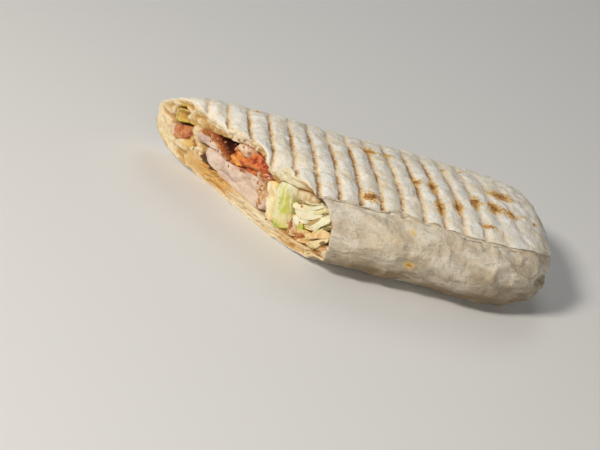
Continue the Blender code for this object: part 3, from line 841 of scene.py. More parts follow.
# %% Mark the toasted patches
PATCHES = (  # place along and across, reach along and across, and strength
    (80, 15, 3.0, 3.2, 1.0), (87, 16, 2.4, 2.2, 0.6), (97, -3, 2.2, 2.4, 1.0), (103.5, -3, 1.5, 4.2, 1.2),
    (105.5, -18, 1.6, 4.6, 1.2), (112.5, -13, 1.7, 4.6, 1.0), (119.5, -5, 1.9, 4.6, 1.1),
    (127, -5, 2.4, 4.0, 1.2), (131, 8, 4.0, 3.6, 1.1), (133, -7, 2.4, 3.0, 0.9), (80.5, -24, 3.2, 2.2, 1.1),
    (123, -21, 3.2, 1.4, 0.9), (109, 19, 1.8, 1.4, 0.7), (139, -5, 1.2, 1.0, 0.6), (143, -5, 1.0, 1.4, 0.7),
    (147, 4, 1.4, 2.4, 0.7), (37, 24, 1.6, 2.4, 0.7), (146, -18, 1.2, 2.2, 0.6), (117, 24, 1.2, 1.6, 0.5),
)
FLAP_BLISTERS = ((97.7, 13.0, 1.8, 1.3, 1.0), (96.2, 23.7, 1.6, 1.0, 0.5))  # along and up
SOAKED_PLACES = (  # across and up
    (12, 5, 9, 3.5, 1.0), (-2, 3.5, 9, 2.2, 0.7), (22, 9, 3.0, 3.5, 0.5), (-24, 3, 6, 2.0, 0.6),
    (2, 25.5, 7, 1.6, 0.6),
)


def patches(first, second, listed):
    """The sum of the listed patches at each place."""
    total = 0.0
    for at, beside, wide, tall, strength in listed:
        total = total + strength * np.exp(-(((first - at) / wide) ** 2) - ((second - beside) / tall) ** 2)
    return total


dx, dy, dz = np.moveaxis(dressed, -1, 0)
toasted = 1.3 * patches(dx, dy, PATCHES) * smooth_step(0.3, 0.7, up_share) * (1 - flap)
toasted = toasted + patches(dx, dz, FLAP_BLISTERS) * flap
print("toasted patches cover", round(100 * float((toasted > 0.5).mean()), 1), "percent of the skin's points")

# %% [markdown]
# ## Numbers that the bread's mesh carries
#
# A material can't know where the grill's ribs ran or how deep a groove is, so the mesh tells it.
# Each point gets its distance to the ribs, how much of the rib's mark shows, whether it is flap
# or cut, how deep it lies behind the cut, how far from the outside, and how much sauce it soaked
# up. The outside's points come first and those behind the cut follow, as in the joined mesh.

# %% Give the bread its numbers
FAR_FROM_RIBS = 9
DEEP_HOLLOW = 2.2  # this far behind the cut the field is 1

on_first_ring = np.arange(len(grid_x))[:, None] == 0
skin_fields = {
    "scorch": bar_distance(x, y),
    "toast": bar_distance(x, y, 0.75),
    "ribbed": ribbed * (1 - 0.6 * smooth_step(98, 120, x)),
    "flap": flap,
    "patches": toasted,
    "cut": np.where(on_first_ring, 0.5, 0.0) + 0 * x,
    **{name: 0 * x for name in ("hollow", "layers", "stain")},
}
behind_points = bread_points[len(skin_points):]
behind_cut = behind_points[:, 0] - cut_x(behind_points[:, 1], behind_points[:, 2])
none_of_it = np.zeros(len(behind_points))
bread_fields = {name: np.concatenate((values.ravel(), none_of_it)) for name, values in skin_fields.items()}
bread_fields["scorch"][len(skin_points):] = FAR_FROM_RIBS
bread_fields["toast"][len(skin_points):] = FAR_FROM_RIBS
bread_fields["cut"][len(skin_points):] = 1
bread_fields["layers"][len(skin_points):][:len(rim) - columns] = from_outside[columns:]
bread_fields["hollow"][len(skin_points):] = np.clip(behind_cut / DEEP_HOLLOW, 0, 2)
soaked_up = np.clip(patches(behind_points[:, 1], behind_points[:, 2], SOAKED_PLACES), 0, 1)
bread_fields["stain"][len(skin_points):] = soaked_up
flatbread = build("flatbread_sheets", bread_points, bread_faces, bread_fields)
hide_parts("flatbread")
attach(flatbread, "root")

# %% [markdown]
# ## Materials as sums
#
# A material's nodes are easier to read as sums. The class below wraps one socket, and each
# operator adds one Math node, so `1 - mask` or `mask * 0.5` can be written as they are. Colours
# never go through Math, which would turn them grey: they are mixed.

# %% Wrap sockets so that Python can do sums with them
def ramp_stops(ramp, stops):
    """Set a ramp's stops, each a place and a colour."""
    while len(ramp.elements) < len(stops):
        ramp.elements.new(0.5)
    for element, (at, colour) in zip(ramp.elements, stops):
        element.position = at
        element.color = (*colour, 1)


class Value:
    """One socket of a material. Its one method adds any node; the operators add Math nodes."""

    def __init__(self, tree, socket=None):
        self.tree = tree
        self.socket = socket

    def node(self, kind, settings, sockets, output=0):
        """Add a node: first its settings, then its sockets' values or links."""
        made = self.tree.nodes.new("ShaderNode" + kind)
        for name, value in settings.items():
            if name == "stops":
                ramp_stops(made.color_ramp, value)
            else:
                setattr(made, name, value)
        for name, value in sockets.items():
            if isinstance(value, Value):
                self.tree.links.new(value.socket, made.inputs[name])
            else:
                made.inputs[name].default_value = value
        return Value(self.tree, made.outputs[output])

    def math(self, operation, first, second):
        return self.node("Math", {"operation": operation}, {0: first, 1: second})

    def __add__(self, other):
        return self.math("ADD", self, other)

    def __sub__(self, other):
        return self.math("SUBTRACT", self, other)

    def __rsub__(self, other):
        return self.math("SUBTRACT", other, self)

    def __mul__(self, other):
        return self.math("MULTIPLY", self, other)

    __radd__ = __add__
    __rmul__ = __mul__


def new_finish(name):
    """A new material, and the place of the shaded point in millimetres."""
    material = bpy.data.materials.new(name)
    material.use_nodes = True
    start = Value(material.node_tree)
    metres = start.node("TexCoord", {}, {}, "Object")
    return material, start.node("VectorMath", {"operation": "SCALE"}, {0: metres, "Scale": 1 / MM})


operators = [name for name in vars(Value) if name.endswith(("add__", "sub__", "mul__"))]
print("Value turns these operators into nodes:", operators)

# %% [markdown]
# ## The moves that every finish is made of
#
# Food has no flat colour, so each finish here is built up like paint: noise of some size, a number
# that the mesh carries, a smooth step that turns either into a mask, and a mix of two colours
# through the mask. A soft spot on the cut face is a mask too, so a stain can be put where the
# real food shows it. Each of these moves gets a short name.

# %% Name the moves
def grain(point, size, detail=3.0, stretch=None):
    """Noise from 0 to 1 with spots about this many millimetres wide."""
    if stretch:
        point = point.node("VectorMath", {"operation": "MULTIPLY"}, {0: point, 1: stretch})
    return point.node("TexNoise", {}, {"Vector": point, "Scale": 1 / size, "Detail": detail})


def field(point, name):
    return point.node("Attribute", {"attribute_name": name}, {}, "Fac")


def rise(value, low, high):
    """0 below low, 1 above high, and smooth between; low may be the larger one."""
    return value.node("MapRange", {"interpolation_type": "SMOOTHSTEP"}, {"Value": value, 1: low, 2: high})


def near(point, y, z, wide, tall, turn=0):
    """1 at a place of the cut face, falling to 0 at this far across or up, turned by some degrees."""
    off = point.node("VectorMath", {"operation": "SUBTRACT"}, {0: point, 1: (0, y, z)})
    if turn:
        back = -math.radians(turn)
        off = off.node("VectorRotate", {"rotation_type": "X_AXIS"}, {"Vector": off, "Angle": back})
    off = off.node("VectorMath", {"operation": "MULTIPLY"}, {0: off, 1: (0, 1 / wide, 1 / tall)})
    return rise(off.node("VectorMath", {"operation": "LENGTH"}, {0: off}, "Value"), 1, 0.25)


def ramp(value, *stops):
    return value.node("ValToRGB", {"stops": stops}, {0: value})


def mix(mask, first, second):
    """The first colour where the mask is 0, and the second where it is 1."""
    colours = [(*c, 1) if isinstance(c, tuple) else c for c in (first, second)]
    return mask.node("Mix", {"data_type": "RGBA"}, {0: mask, 6: colours[0], 7: colours[1]}, 2)


def painted(colour, point, spots):
    """Soft spots over a colour. Each is a place, a reach across and up, a turn, a strength and a paint."""
    for y, z, wide, tall, turn, strength, paint in spots:
        colour = mix(near(point, y, z, wide, tall, turn) * strength, colour, paint)
    return colour


# %% [markdown]
# ## From nodes to a finish
#
# What changes over the surface is linked to the colour, the roughness and a bump. What is the same
# all over is set on the shader itself, which keeps a material easy to export. Wet food lets light
# sink in a little, so the settings for that have a helper of their own.

# %% Join a finish to its piece
def shade(point, colour, roughness, height, depth, fixed):
    """Finish the material: what varies is linked, and the rest is set on the shader itself."""
    shader = point.tree.nodes["Principled BSDF"]
    bump = point.node("Bump", {}, {"Height": height, "Strength": 1.0, "Distance": depth * MM}, "Normal")
    for name, value in {"Base Color": colour, "Roughness": roughness, "Normal": bump}.items():
        if isinstance(value, Value):
            point.tree.links.new(value.socket, shader.inputs[name])
        else:
            shader.inputs[name].default_value = value
    for name, value in fixed.items():
        shader.inputs[name].default_value = value


def soft(weight, radius=(1.0, 0.6, 0.35), scale=1.5):
    """Settings for light that sinks in, up to this many millimetres."""
    return {"Subsurface Weight": weight, "Subsurface Radius": radius, "Subsurface Scale": scale * MM}


def dress(piece, material):
    piece.data.materials.clear()
    piece.data.materials.append(material)
    print(piece.name, "wears", material.name, "with", len(material.node_tree.nodes), "nodes")


# %% [markdown]
# ## Flatbread: the grilled sheet
#
# The sheet's colours run from cream to floury white with faint grey and oily spots. Scorching is
# drawn in three widths from the distance to the grill's ribs: a golden glow and a brown band, both
# a little to one side, and a thin dark core. All are broken up by noise, because the bread touched
# the ribs unevenly. The baked patches go the same way, from a golden edge to a scorched middle.

# %% Colour the grilled sheet
CREAM = (0.87, 0.78, 0.61)
FLOURY = (0.95, 0.91, 0.83)
DUSTY = (0.70, 0.65, 0.56)
OILY = (0.80, 0.63, 0.37)
GLOWING = (0.84, 0.60, 0.26)
GOLDEN = (0.80, 0.53, 0.18)
TOASTED = (0.56, 0.25, 0.045)
SCORCHED = (0.20, 0.075, 0.018)
BAKING = (  # where each tone of a patch starts and is full, its strength and its colour
    (0.1, 0.5, 0.85, GOLDEN), (0.62, 0.92, 0.9, TOASTED), (1.1, 1.4, 0.8, SCORCHED),
)


def grilled_sheet(point, patchy, fine):
    """The top sheet, with the scorched lines of the grill's ribs."""
    sheet = ramp(grain(point, 8), (0.36, CREAM), (0.56, FLOURY))
    sheet = mix(rise(patchy + (fine - 0.5) * 0.5, 0.50, 0.72) * 0.6, sheet, DUSTY)
    sheet = mix(rise(grain(point, 4.5) + (fine - 0.5) * 0.3, 0.54, 0.70) * 0.6, sheet, OILY)
    sheet = mix(rise(grain(point, 0.5, 2), 0.56, 0.72) * 0.55, sheet, DUSTY)
    contact = rise(grain(point, 8, 2), 0.30, 0.62)
    ribbed_here = field(point, "ribbed")
    toast = field(point, "toast") + (patchy - 0.5) * 1.2 + (fine - 0.5) * 0.8
    scorch = field(point, "scorch") + (fine - 0.5) * 1.1
    glow = rise(toast, 1.3, 0.2) * ribbed_here * (contact * 0.6 + 0.4)
    band = rise(toast, 0.5, 0.05) * ribbed_here * (contact * 0.9 + 0.1)
    core = rise(scorch, 0.8, 0.25) * ribbed_here * (contact * 0.7 + 0.3)
    for mask, paint in ((glow * 0.75, GLOWING), (band * 0.9, TOASTED), (core * 0.9, SCORCHED)):
        sheet = mix(mask, sheet, paint)
    return sheet


def baked_patches(sheet, point, patchy, fine):
    """The patches that the mesh carries, with ragged edges."""
    baked = field(point, "patches")
    broken = (fine - 0.5) * 2.8 + (patchy - 0.5) * 1.6
    baked = baked + rise(baked, 0.02, 0.3) * (1 - field(point, "flap") * 0.8) * broken
    for low, high, strength, paint in BAKING:
        sheet = mix(rise(baked, low, high) * strength, sheet, paint)
    return sheet


# %% [markdown]
# ## Flatbread: the side flap
#
# The flap never touched the ribs. It is warmer and duller than the top, streaked along the wrap,
# and is painted a darker brown towards its foot, as painted shade.

# %% Colour the side flap
FLAP_PALE = (0.77, 0.69, 0.56)
FLAP_WARM = (0.64, 0.53, 0.38)
FLAP_GREY = (0.52, 0.45, 0.36)
FLAP_GOLDEN = (0.70, 0.52, 0.30)
FLAP_FOOT_SHADE = (0.22, 0.155, 0.085)
FOOT_SHADE_FROM = 20  # height above the floor
FOOT_SHADE_FULL = 3


def flap_sheet(point, patchy, fine):
    streaky = grain(point, 5, 4, (0.5, 1, 1))
    sheet = mix(rise(streaky, 0.36, 0.64), FLAP_WARM, FLAP_PALE)
    sheet = mix(rise(fine + (patchy - 0.5) * 0.7, 0.5, 0.72) * 0.5, sheet, FLAP_GREY)
    sheet = mix(rise(grain(point, 12, 3, (0.6, 1, 1)), 0.50, 0.66) * 0.4, sheet, FLAP_GOLDEN)
    height = point.node("SeparateXYZ", {}, {0: point}, "Z") + (streaky - 0.5) * 16
    # painted shade: a darker brown towards the flap's foot
    return mix(rise(height, FOOT_SHADE_FROM, FOOT_SHADE_FULL) * 0.95, sheet, FLAP_FOOT_SHADE)


# %% [markdown]
# ## Flatbread: the cut face
#
# Inside, the bread is the colour of crumb, with pale and soaked lines along its stacked sheets.
# Noise can't follow the sheets by itself, so its place is moved by the distance from the outside,
# which the mesh carries. The deeper the face lies behind the cut, the browner it is painted, as
# painted shade in its hollows, and the crumpled tip is paler.

# %% Colour the crumb
CRUMB = (0.70, 0.47, 0.21)
CRUMB_PALE = (0.85, 0.69, 0.43)
SOAK_AND_SHADE = (0.54, 0.30, 0.085)
SOAKED_DEEP = (0.38, 0.18, 0.045)
TIP_PALE = (0.88, 0.74, 0.50)
TIP_YELLOW = (0.78, 0.64, 0.22)


def layer_lines(point):
    """Noise that is drawn out along the sheets, and changes quickly from sheet to sheet."""
    between = point.node("VectorMath", {"operation": "MULTIPLY"}, {0: point, 1: (0.07, 0.07, 0.07)})
    across_layers = point.node("CombineXYZ", {}, {0: field(point, "layers") * 1.1})
    lines = between.node("VectorMath", {"operation": "ADD"}, {0: between, 1: across_layers})
    return lines.node("TexNoise", {}, {"Vector": lines, "Scale": 1.5, "Detail": 5.0})


def crumb_colour(point, patchy, fine):
    lines = layer_lines(point)
    at_tip = near(point, 29, 14, 20, 18)
    crumb = mix(rise(patchy, 0.42, 0.6), CRUMB, CRUMB_PALE)
    crumb = mix(rise(lines, 0.50, 0.56) * 0.85, crumb, CRUMB_PALE)
    crumb = mix(rise(lines, 0.46, 0.40) * (0.5 - at_tip * 0.35), crumb, SOAK_AND_SHADE)
    crumb = mix(rise(lines + (fine - 0.5) * 0.2, 0.40, 0.36) * (0.55 - at_tip * 0.5), crumb, SOAKED_DEEP)
    crumb = mix(rise(at_tip + (patchy - 0.5) * 2.0, 0.2, 1.1) * 0.8, crumb, TIP_PALE)
    tinted = rise(grain(point, 4.2, 2), 0.52, 0.66) * rise(at_tip, 0.0, 0.5)
    crumb = mix(tinted * 0.45, crumb, TIP_YELLOW)
    # painted shade: browner where the face lies deep behind the cut
    return mix(rise(field(point, "hollow") + (fine - 0.5) * 0.7, 0.12, 0.7) * 0.9, crumb, SOAK_AND_SHADE)


# %% [markdown]
# ## Flatbread: sauce, stains and painted shade on the cut
#
# Sauce has soaked into the crumb: orange where the mesh marks it, with dark red middles, and yellow
# along the bottom. Some places are browner or creamier, and thin gaps between the bread and its
# filling are painted nearly black, as painted shade. All of them are soft spots with noisy edges,
# so one list and one loop are enough. The list's order matters, because each row paints over the
# ones before it.

# %% Stain the crumb, and paint shade in its gaps
SAUCE_ORANGE = (0.70, 0.35, 0.08)
SAUCE_DARK = (0.36, 0.13, 0.03)
SAUCE_YELLOW = (0.80, 0.53, 0.17)
SAUCE_THIN = (0.72, 0.42, 0.12)
BAKED_BROWN = (0.40, 0.16, 0.03)
CREAM_ABOVE = (0.84, 0.78, 0.54)
CREAM_BELOW = (0.89, 0.79, 0.56)
TORN_PALE = (0.91, 0.82, 0.63)
GAP_SHADE = (0.12, 0.05, 0.015)
OLIVE_GOLD = (0.74, 0.52, 0.12)
STAINS_AND_GAP_SHADE = (  # colour, strength, start and full, patchy and fine noise, then spots, each with its weight
    (SAUCE_YELLOW, 0.75, (0.3, 1.0), (1.8, 0), ((10, 4.4, 12, 1.9, 0, 1), (23.2, 10.2, 1.8, 3.8, 20, 1.5))),
    (SAUCE_THIN, 0.6, (0.2, 0.8), (1, 0), ((20, 3.8, 4.5, 2.2, 0, 1),)),
    (BAKED_BROWN, 0.85, (0.35, 0.8), (0, 0.8), ((21.2, 11.6, 1.5, 3.0, 0, 1), (-32, 6.4, 4.0, 1.3, 0, 1))),
    (CREAM_ABOVE, 0.75, (0.1, 0.6), (0, 0), ((-16, 26, 10, 5, 0, 1),)),
    (CREAM_BELOW, 0.6, (0.1, 0.8), (0.8, 0), ((-6, 3, 17, 4.5, 0, 1),)),
    (TORN_PALE, 0.75, (0.1, 0.8), (1.2, 0), ((8, 25.4, 17, 3.4, 0, 1),)),
    # painted shade: the thin gaps between the bread and its filling
    (GAP_SHADE, 1.0, (0.3, 0.7), (0, 0.5), (
        (-30.6, 25.0, 4.4, 1.9, 0, 1), (16.2, 10.4, 1.6, 4.6, 6, 1), (14.0, 7.2, 3.0, 1.0, 20, 1),
    )),
)


def stained_and_shaded_crumb(crumb, point, patchy, fine):
    soaked_in = field(point, "stain") + (patchy - 0.5) * 0.8 + (fine - 0.5) * 0.5
    crumb = mix(rise(soaked_in, 0.25, 0.8) * 0.85, crumb, SAUCE_ORANGE)
    crumb = mix(rise(soaked_in, 0.85, 1.3) * 0.8, crumb, SAUCE_DARK)
    for paint, strength, (low, high), (by_patchy, by_fine), spots in STAINS_AND_GAP_SHADE:
        mask = (patchy - 0.5) * by_patchy + (fine - 0.5) * by_fine
        for y, z, wide, tall, turn, weight in spots:
            mask = mask + near(point, y, z, wide, tall, turn) * weight
        crumb = mix(rise(mask, low, high) * strength, crumb, paint)
    in_hollows = rise(field(point, "hollow"), 0.2, 0.7)
    olive = near(point, 27.2, 20.2, 6.0, 5.4) * in_hollows + near(point, 29.0, 15.0, 3.2, 1.3) * 0.6
    return mix(rise(olive + (fine - 0.5) * 0.3, 0.1, 0.7), crumb, OLIVE_GOLD)


# %% [markdown]
# ## Flatbread: the whole finish
#
# Two masks on the mesh choose between sheet, flap and crumb. The bump adds what is too fine for
# the mesh: grain, and a few soft creases on the flap, which are the lines where a stretched
# noise passes through its middle value.

# %% Finish the flatbread
def bread_finish():
    material, point = new_finish("flatbread")
    patchy = grain(point, 3.0, 4)
    fine = grain(point, 0.9, 4)
    on_flap = field(point, "flap")
    sheet = mix(on_flap, grilled_sheet(point, patchy, fine), flap_sheet(point, patchy, fine))
    sheet = baked_patches(sheet, point, patchy, fine)
    crumb = stained_and_shaded_crumb(crumb_colour(point, patchy, fine), point, patchy, fine)
    colour = mix(field(point, "cut"), sheet, crumb)
    pulled = grain(point, 9, 4, (0.6, 1, 1.3)) - 0.5
    creases = rise(pulled.node("Math", {"operation": "ABSOLUTE"}, {0: pulled}), 0.09, 0) * on_flap
    height = patchy * 0.45 + fine * 0.35 + grain(point, 0.4, 2) * 0.2 + creases * 0.3
    fixed = {**soft(0.1, (1.0, 0.7, 0.45), 1.2), "Specular IOR Level": 0.35}
    shade(point, colour, rise(patchy, 0.3, 0.8) * 0.15 + 0.62, height, 1.0, fixed)
    return material


dress(flatbread, bread_finish())

# %% [markdown]
# ## Fillings as slabs
#
# A filling that was cut through shows one wet face. We triangulate its outline, let the face stand
# out in the middle, add lumps and creases, and round the rim over in three small rings. Near the
# cut its outline wanders, because soft food is pushed about by the knife. Behind that it runs
# on through the wrap as the frame's solid does. Two fields go along: how far a point is from the
# piece's edge, and how deep it lies behind the cut.

# %% Write the slab maker
CLEAR = 0.1  # what a filling keeps clear of its cell
WANDER = 0.3
WANDER_REACH = 5  # behind the face
RIM_TURNS = (30, 60, 90)
RIM_SPACING = 0.45
FACE_SPACING = 0.36
CROWN_REACH = 1.4  # how far in from the rim the face is still bent back
ON_THE_EDGE = 0.3  # added to the face's distances, so that only the walls read 0


def slab(corners, depth, crown, edge, lumps, lump_size, seed, shape=None, creases=0.0):
    """Points, faces and fields of one filling. shape gives any further depth at each place."""
    plain = inset(cell(corners, RIM_SPACING), CLEAR)
    wander = WANDER * noise(to_points(seed * 3.0, *plain.T), 2.4, seed)
    outline = inset(plain, 0) + (inset(plain, 1.0) - plain) * wander[:, None]
    face_line = inset(outline, edge)
    yz, faces = fill_outline(face_line, (), FACE_SPACING, seed)
    inward = distance_to(yz, face_line)
    y, z = yz.T
    flat = to_points(0.0, y, z)
    back = depth + crown * np.exp(-inward / CROWN_REACH) + lumps * rough(flat, lump_size, seed + 100)
    back = back + creases * ridges(flat, lump_size * 1.3, seed + 200)
    if shape is not None:
        back = back + shape(y, z)
    count = len(face_line)
    rim_back = back[:count]
    points = [to_points(cut_x(y, z) + back, y, z)]
    rings = []
    for turn in np.radians(RIM_TURNS):
        ring = inset(outline, edge * (1 - np.sin(turn)))
        rings.append(to_points(cut_x(*ring.T) + rim_back + edge * (1 - np.cos(turn)), *ring.T))
    wall = rings_behind(outline, cut_x(*outline.T) + rim_back + edge, SQUARE_STATIONS)
    calm = rings_behind(plain, cut_x(*outline.T) + rim_back + edge, SQUARE_STATIONS)
    further = (math.inf,) * (len(wall) - len(NEAR_DEPTHS))
    for k, near_depth in enumerate(NEAR_DEPTHS + further):
        share = min(near_depth / WANDER_REACH, 1)
        rings.append(wall[k] * (1 - share) + calm[k] * share)
    faces = faces.tolist()
    previous = 0
    at = len(yz)
    for ring in rings:
        faces += ring_faces(previous, at, count).tolist()
        points.append(ring)
        previous = at
        at += count
    faces.append(np.arange(previous, previous + count).tolist())
    points = np.concatenate(points)
    wall_inward = np.zeros(len(points) - len(yz))
    behind_face = points[:, 0] - cut_x(points[:, 1], points[:, 2]) - depth
    inward = np.concatenate((inward + ON_THE_EDGE, wall_inward))
    return points, faces, {"inward": inward, "behind": behind_face}


# %% [markdown]
# ## Serving a piece
#
# A heap such as the shredded cabbage is many parts in one piece, so parts are gathered before the
# mesh is built. Then the solid that the piece stands for is hidden, the piece is attached to the
# one body, and it gets its finish. Bits that no solid stands for replace nothing.

# %% Gather the parts and serve the piece
def gather(parts):
    """Several parts as one list of points, of faces and of fields."""
    points = np.concatenate([p for p, _, _ in parts])
    faces = []
    start = 0
    for part_points, part_faces, _ in parts:
        faces += [[start + i for i in face] for face in part_faces]
        start += len(part_points)
    fields = {name: np.concatenate([f[name] for _, _, f in parts]) for name in parts[0][2]}
    return points, faces, fields


served = []


def serve(name, node, parts, material):
    """Build a piece from its parts, hide the solid that it stands for, if any, then attach and dress it."""
    piece = build(name, *gather(parts))
    if node:
        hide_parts(node)
    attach(piece, "root")
    dress(piece, material)
    served.append(piece)
    return piece


# %% [markdown]
# ## Chicken
#
# The chicken shows as a large pale slice and a browned piece above it. The slice is two muscles:
# the upper one hangs over the lower one, and a thin dark gap runs where they meet. We give the gap
# as a line, and each point's depth follows from how far it lies beside that line. The browned
# piece falls back in the same way, beyond one straight edge, into the dark hollow by the peppers.

# %% Shape the chicken
CREASE_LINE = (
    (9.4, 8.6), (7.2, 9.8), (5.0, 8.9), (2.4, 8.9), (0.2, 10.4), (-2.2, 12.9), (-4.2, 15.4), (-5.4, 17.6),
)
HOLLOW_EDGE = ((15.0, 20.5), (4.5, 15.0))
HOLLOW_DEPTH = 8.5


def beside(y, z, line):
    """How far each place lies from an open line: positive on its left, negative on its right."""
    start = np.array(line)[:-1]
    run = np.diff(np.array(line), axis=0)
    apart = np.stack((y, z), -1)[:, None] - start
    share = np.clip((apart * run).sum(-1) / (run**2).sum(-1), 0, 1)
    length = np.linalg.norm(apart - share[..., None] * run, axis=-1)
    side = np.sign(run[:, 0] * apart[..., 1] - run[:, 1] * apart[..., 0])
    nearest = (np.arange(len(length)), length.argmin(1))
    return length[nearest] * side[nearest]


def chicken_relief(y, z):
    """Two muscles: the upper one hangs over the lower one, with a thin dark gap between them."""
    off = -beside(y, z, CREASE_LINE)
    swell = 0.8 * bell(y, 12, 3.0) * bell(z, 11.5, 3.0) + 0.7 * bell(y, 4, 4) * bell(z, 12.5, 2.0)
    overhang = 0.6 * smooth_step(-0.2, 0.9, off) * smooth_step(7, 2, off)
    return 0.5 * bell(off, -0.25, 0.4) - overhang - swell + 0.2


def browned_depth(y, z):
    """The browned piece falls back into the dark hollow beside the peppers."""
    off = beside(y, z, HOLLOW_EDGE)
    return HOLLOW_DEPTH * smooth_step(0.2, 2.4, -off) - 0.5 * bell(off, 0.6, 0.9)


print("hollow goes back by", round(float(browned_depth(np.array([9.0]), np.array([21.0])).max()), 1), "mm")

# %% [markdown]
# ## Flesh and crust
#
# Cooked chicken is a pinkish grey with faint fibres. It is painted paler where it is thick, as
# painted light on the bulge, with a painted highlight beside it, and greyer beside the gap, as
# painted shade. The slice and the browned piece share the flesh, so that is one helper, and each
# adds its own crust: on the slice it is spiced, and lies along its edges. The fibres are drawn
# weakly, because strong dark spots would look like sausage.

# %% Finish the flesh
FLESH_DARK = (0.44, 0.26, 0.18)
FLESH = (0.63, 0.43, 0.33)
FLESH_PALE = (0.80, 0.63, 0.50)
FLESH_GREY = (0.48, 0.34, 0.29)
FLESH_PEACH = (0.86, 0.65, 0.49)
FLESH_PAINTED_HIGHLIGHT = (0.84, 0.72, 0.62)
BROWNED = (0.60, 0.27, 0.075)
SPICED_CRUST = ((0.36, (0.50, 0.21, 0.06)), (0.5, (0.66, 0.33, 0.12)), (0.64, (0.84, 0.58, 0.34)))
# spots: peach on the lower muscle, painted light on the bulge, painted shade beside the gap, grey at the
# upper left, and a painted highlight
FLESH_SPOTS = (
    (-4, 9, 9, 5, 0, 0.8, FLESH_PEACH), (13, 11.5, 3.5, 6, 0, 0.6, FLESH_PALE),
    (4.6, 9.6, 4.4, 1.8, 0, 0.7, FLESH_GREY), (17.6, 15.6, 4, 3, 0, 0.8, FLESH_GREY),
    (11.5, 12.4, 2.0, 4.5, 30, 0.5, FLESH_PAINTED_HIGHLIGHT),
)


def flesh_colour(point):
    fibres = grain(point, 1.5, 3, (1.0, 0.4, 1.5))
    broad = grain(point, 5.5, 2)
    colour = mix(rise(broad, 0.36, 0.6), FLESH, FLESH_PALE)
    colour = painted(colour, point, FLESH_SPOTS)
    colour = mix(rise(fibres, 0.50, 0.64) * 0.45, colour, FLESH_PALE)
    return mix(rise(fibres, 0.46, 0.36) * 0.22, colour, FLESH_DARK), fibres


def flesh_finish():
    material, point = new_finish("chicken_flesh")
    colour, fibres = flesh_colour(point)
    mottled = grain(point, 2.2)
    edge = rise(field(point, "inward") + (mottled - 0.5) * 2.4, 0.4, -0.2)
    colour = mix(edge * 0.3, colour, BROWNED)
    spiced = near(point, -9.2, 13.0, 2.4, 6) + near(point, 0, 15.6, 6, 1.4) + (mottled - 0.5) * 1.5
    colour = mix(rise(spiced, 0.35, 0.9) * 0.9, colour, ramp(grain(point, 1.2, 4), *SPICED_CRUST))
    colour = painted(colour, point, ((14.6, 17.6, 3.0, 1.8, 0, 0.8, BROWNED),))
    height = fibres * 0.6 + grain(point, 0.6, 2) * 0.4
    shade(point, colour, rise(mottled, 0.3, 0.7) * 0.2 + 0.28, height, 0.5, soft(0.1))
    return material


flesh = flesh_finish()
print("soft spots on the flesh:", len(FLESH_SPOTS))

# %% [markdown]
# ## The browned piece
#
# The browned piece changes across the hollow's edge, in three steps: flesh and crust in front of
# it, a dark red line along it, and beyond it painted shade, a nearly black red over the dark maroon
# meat, with a few lighter bits. Its gloss is kept low, or the lights would shine into the hollow
# and make it look shallow.

# %% Finish the browned piece, and make both
BROWN_CRUST = ((0.38, (0.40, 0.13, 0.03)), (0.5, (0.62, 0.28, 0.07)), (0.66, (0.74, 0.42, 0.15)))
SPICE_DARK = (0.25, 0.07, 0.02)
EDGE_RED = (0.32, 0.07, 0.02)
HOLLOW_SHADE_RED = (0.022, 0.003, 0.001)
HOLLOW_SHADED_BITS = (0.22, 0.026, 0.006)
edge_run = Vector(HOLLOW_EDGE[1]) - Vector(HOLLOW_EDGE[0])
into_hollow = Vector((edge_run.y, -edge_run.x)).normalized()


def browned_finish():
    material, point = new_finish("chicken_browned")
    flesh, fibres = flesh_colour(point)
    broad = grain(point, 2.4)
    fine = grain(point, 0.8, 4)
    crust = mix(rise(fine, 0.56, 0.72) * 0.5, ramp(broad, *BROWN_CRUST), SPICE_DARK)
    off = point.node("VectorMath", {"operation": "SUBTRACT"}, {0: point, 1: (0, *HOLLOW_EDGE[0])})
    beyond = off.node("VectorMath", {"operation": "DOT_PRODUCT"}, {0: off, 1: (0, *into_hollow)}, "Value")
    beyond = beyond + (fine - 0.5) * 0.9
    outer = near(point, 17.6, 20.2, 5.4, 4.0) + (fine - 0.5) * 0.8
    colour = mix(rise(outer, 0.2, 0.6), flesh, crust)
    colour = mix(rise(beyond, -1.5, -0.7), colour, crust)
    colour = mix(rise(beyond, -0.4, 0.2) * 0.9, colour, EDGE_RED)
    # painted shade: a nearly black red in the hollow, with a few lighter bits
    bits = mix(rise(broad + (fine - 0.5), 0.5, 0.7) * 0.5, HOLLOW_SHADE_RED, HOLLOW_SHADED_BITS)
    colour = mix(rise(beyond, 0.3, 1.1), colour, bits)
    height = broad * 0.4 + fine * 0.4 + fibres * 0.2
    shade(point, colour, rise(fine, 0.3, 0.7) * 0.2 + 0.45, height, 1.0, {"Specular IOR Level": 0.12})
    return material


serve("chicken_slice_cut", "chicken_slice", [slab(
    "i4 i3 i2 i7 i8 i9 i10 b4 b5 b6 i12 i13",
    depth=0.0, crown=0.25, edge=0.12, lumps=0.45, lump_size=2.4, seed=11, shape=chicken_relief, creases=0.5,
)], flesh)
serve("chicken_browned_edge", "chicken_browned", [slab(
    "t1 t2 t3 i1 i2 i3 i4 b10",
    depth=-0.1, crown=0.2, edge=0.1, lumps=0.6, lump_size=1.7, seed=12, shape=browned_depth, creases=0.7,
)], browned_finish())

# %% [markdown]
# ## Peppers and tomato
#
# Grilled pepper and tomato are the brightest things in the wrap: wet, orange-red, and slumped into
# soft folds. One recipe serves all three, with its own colours for each. A low roughness and a
# little light under the surface make them look juicy. Each is painted darker where it runs on
# behind the cut, as painted shade. The tomato is paler towards one side, and browner towards the
# other.

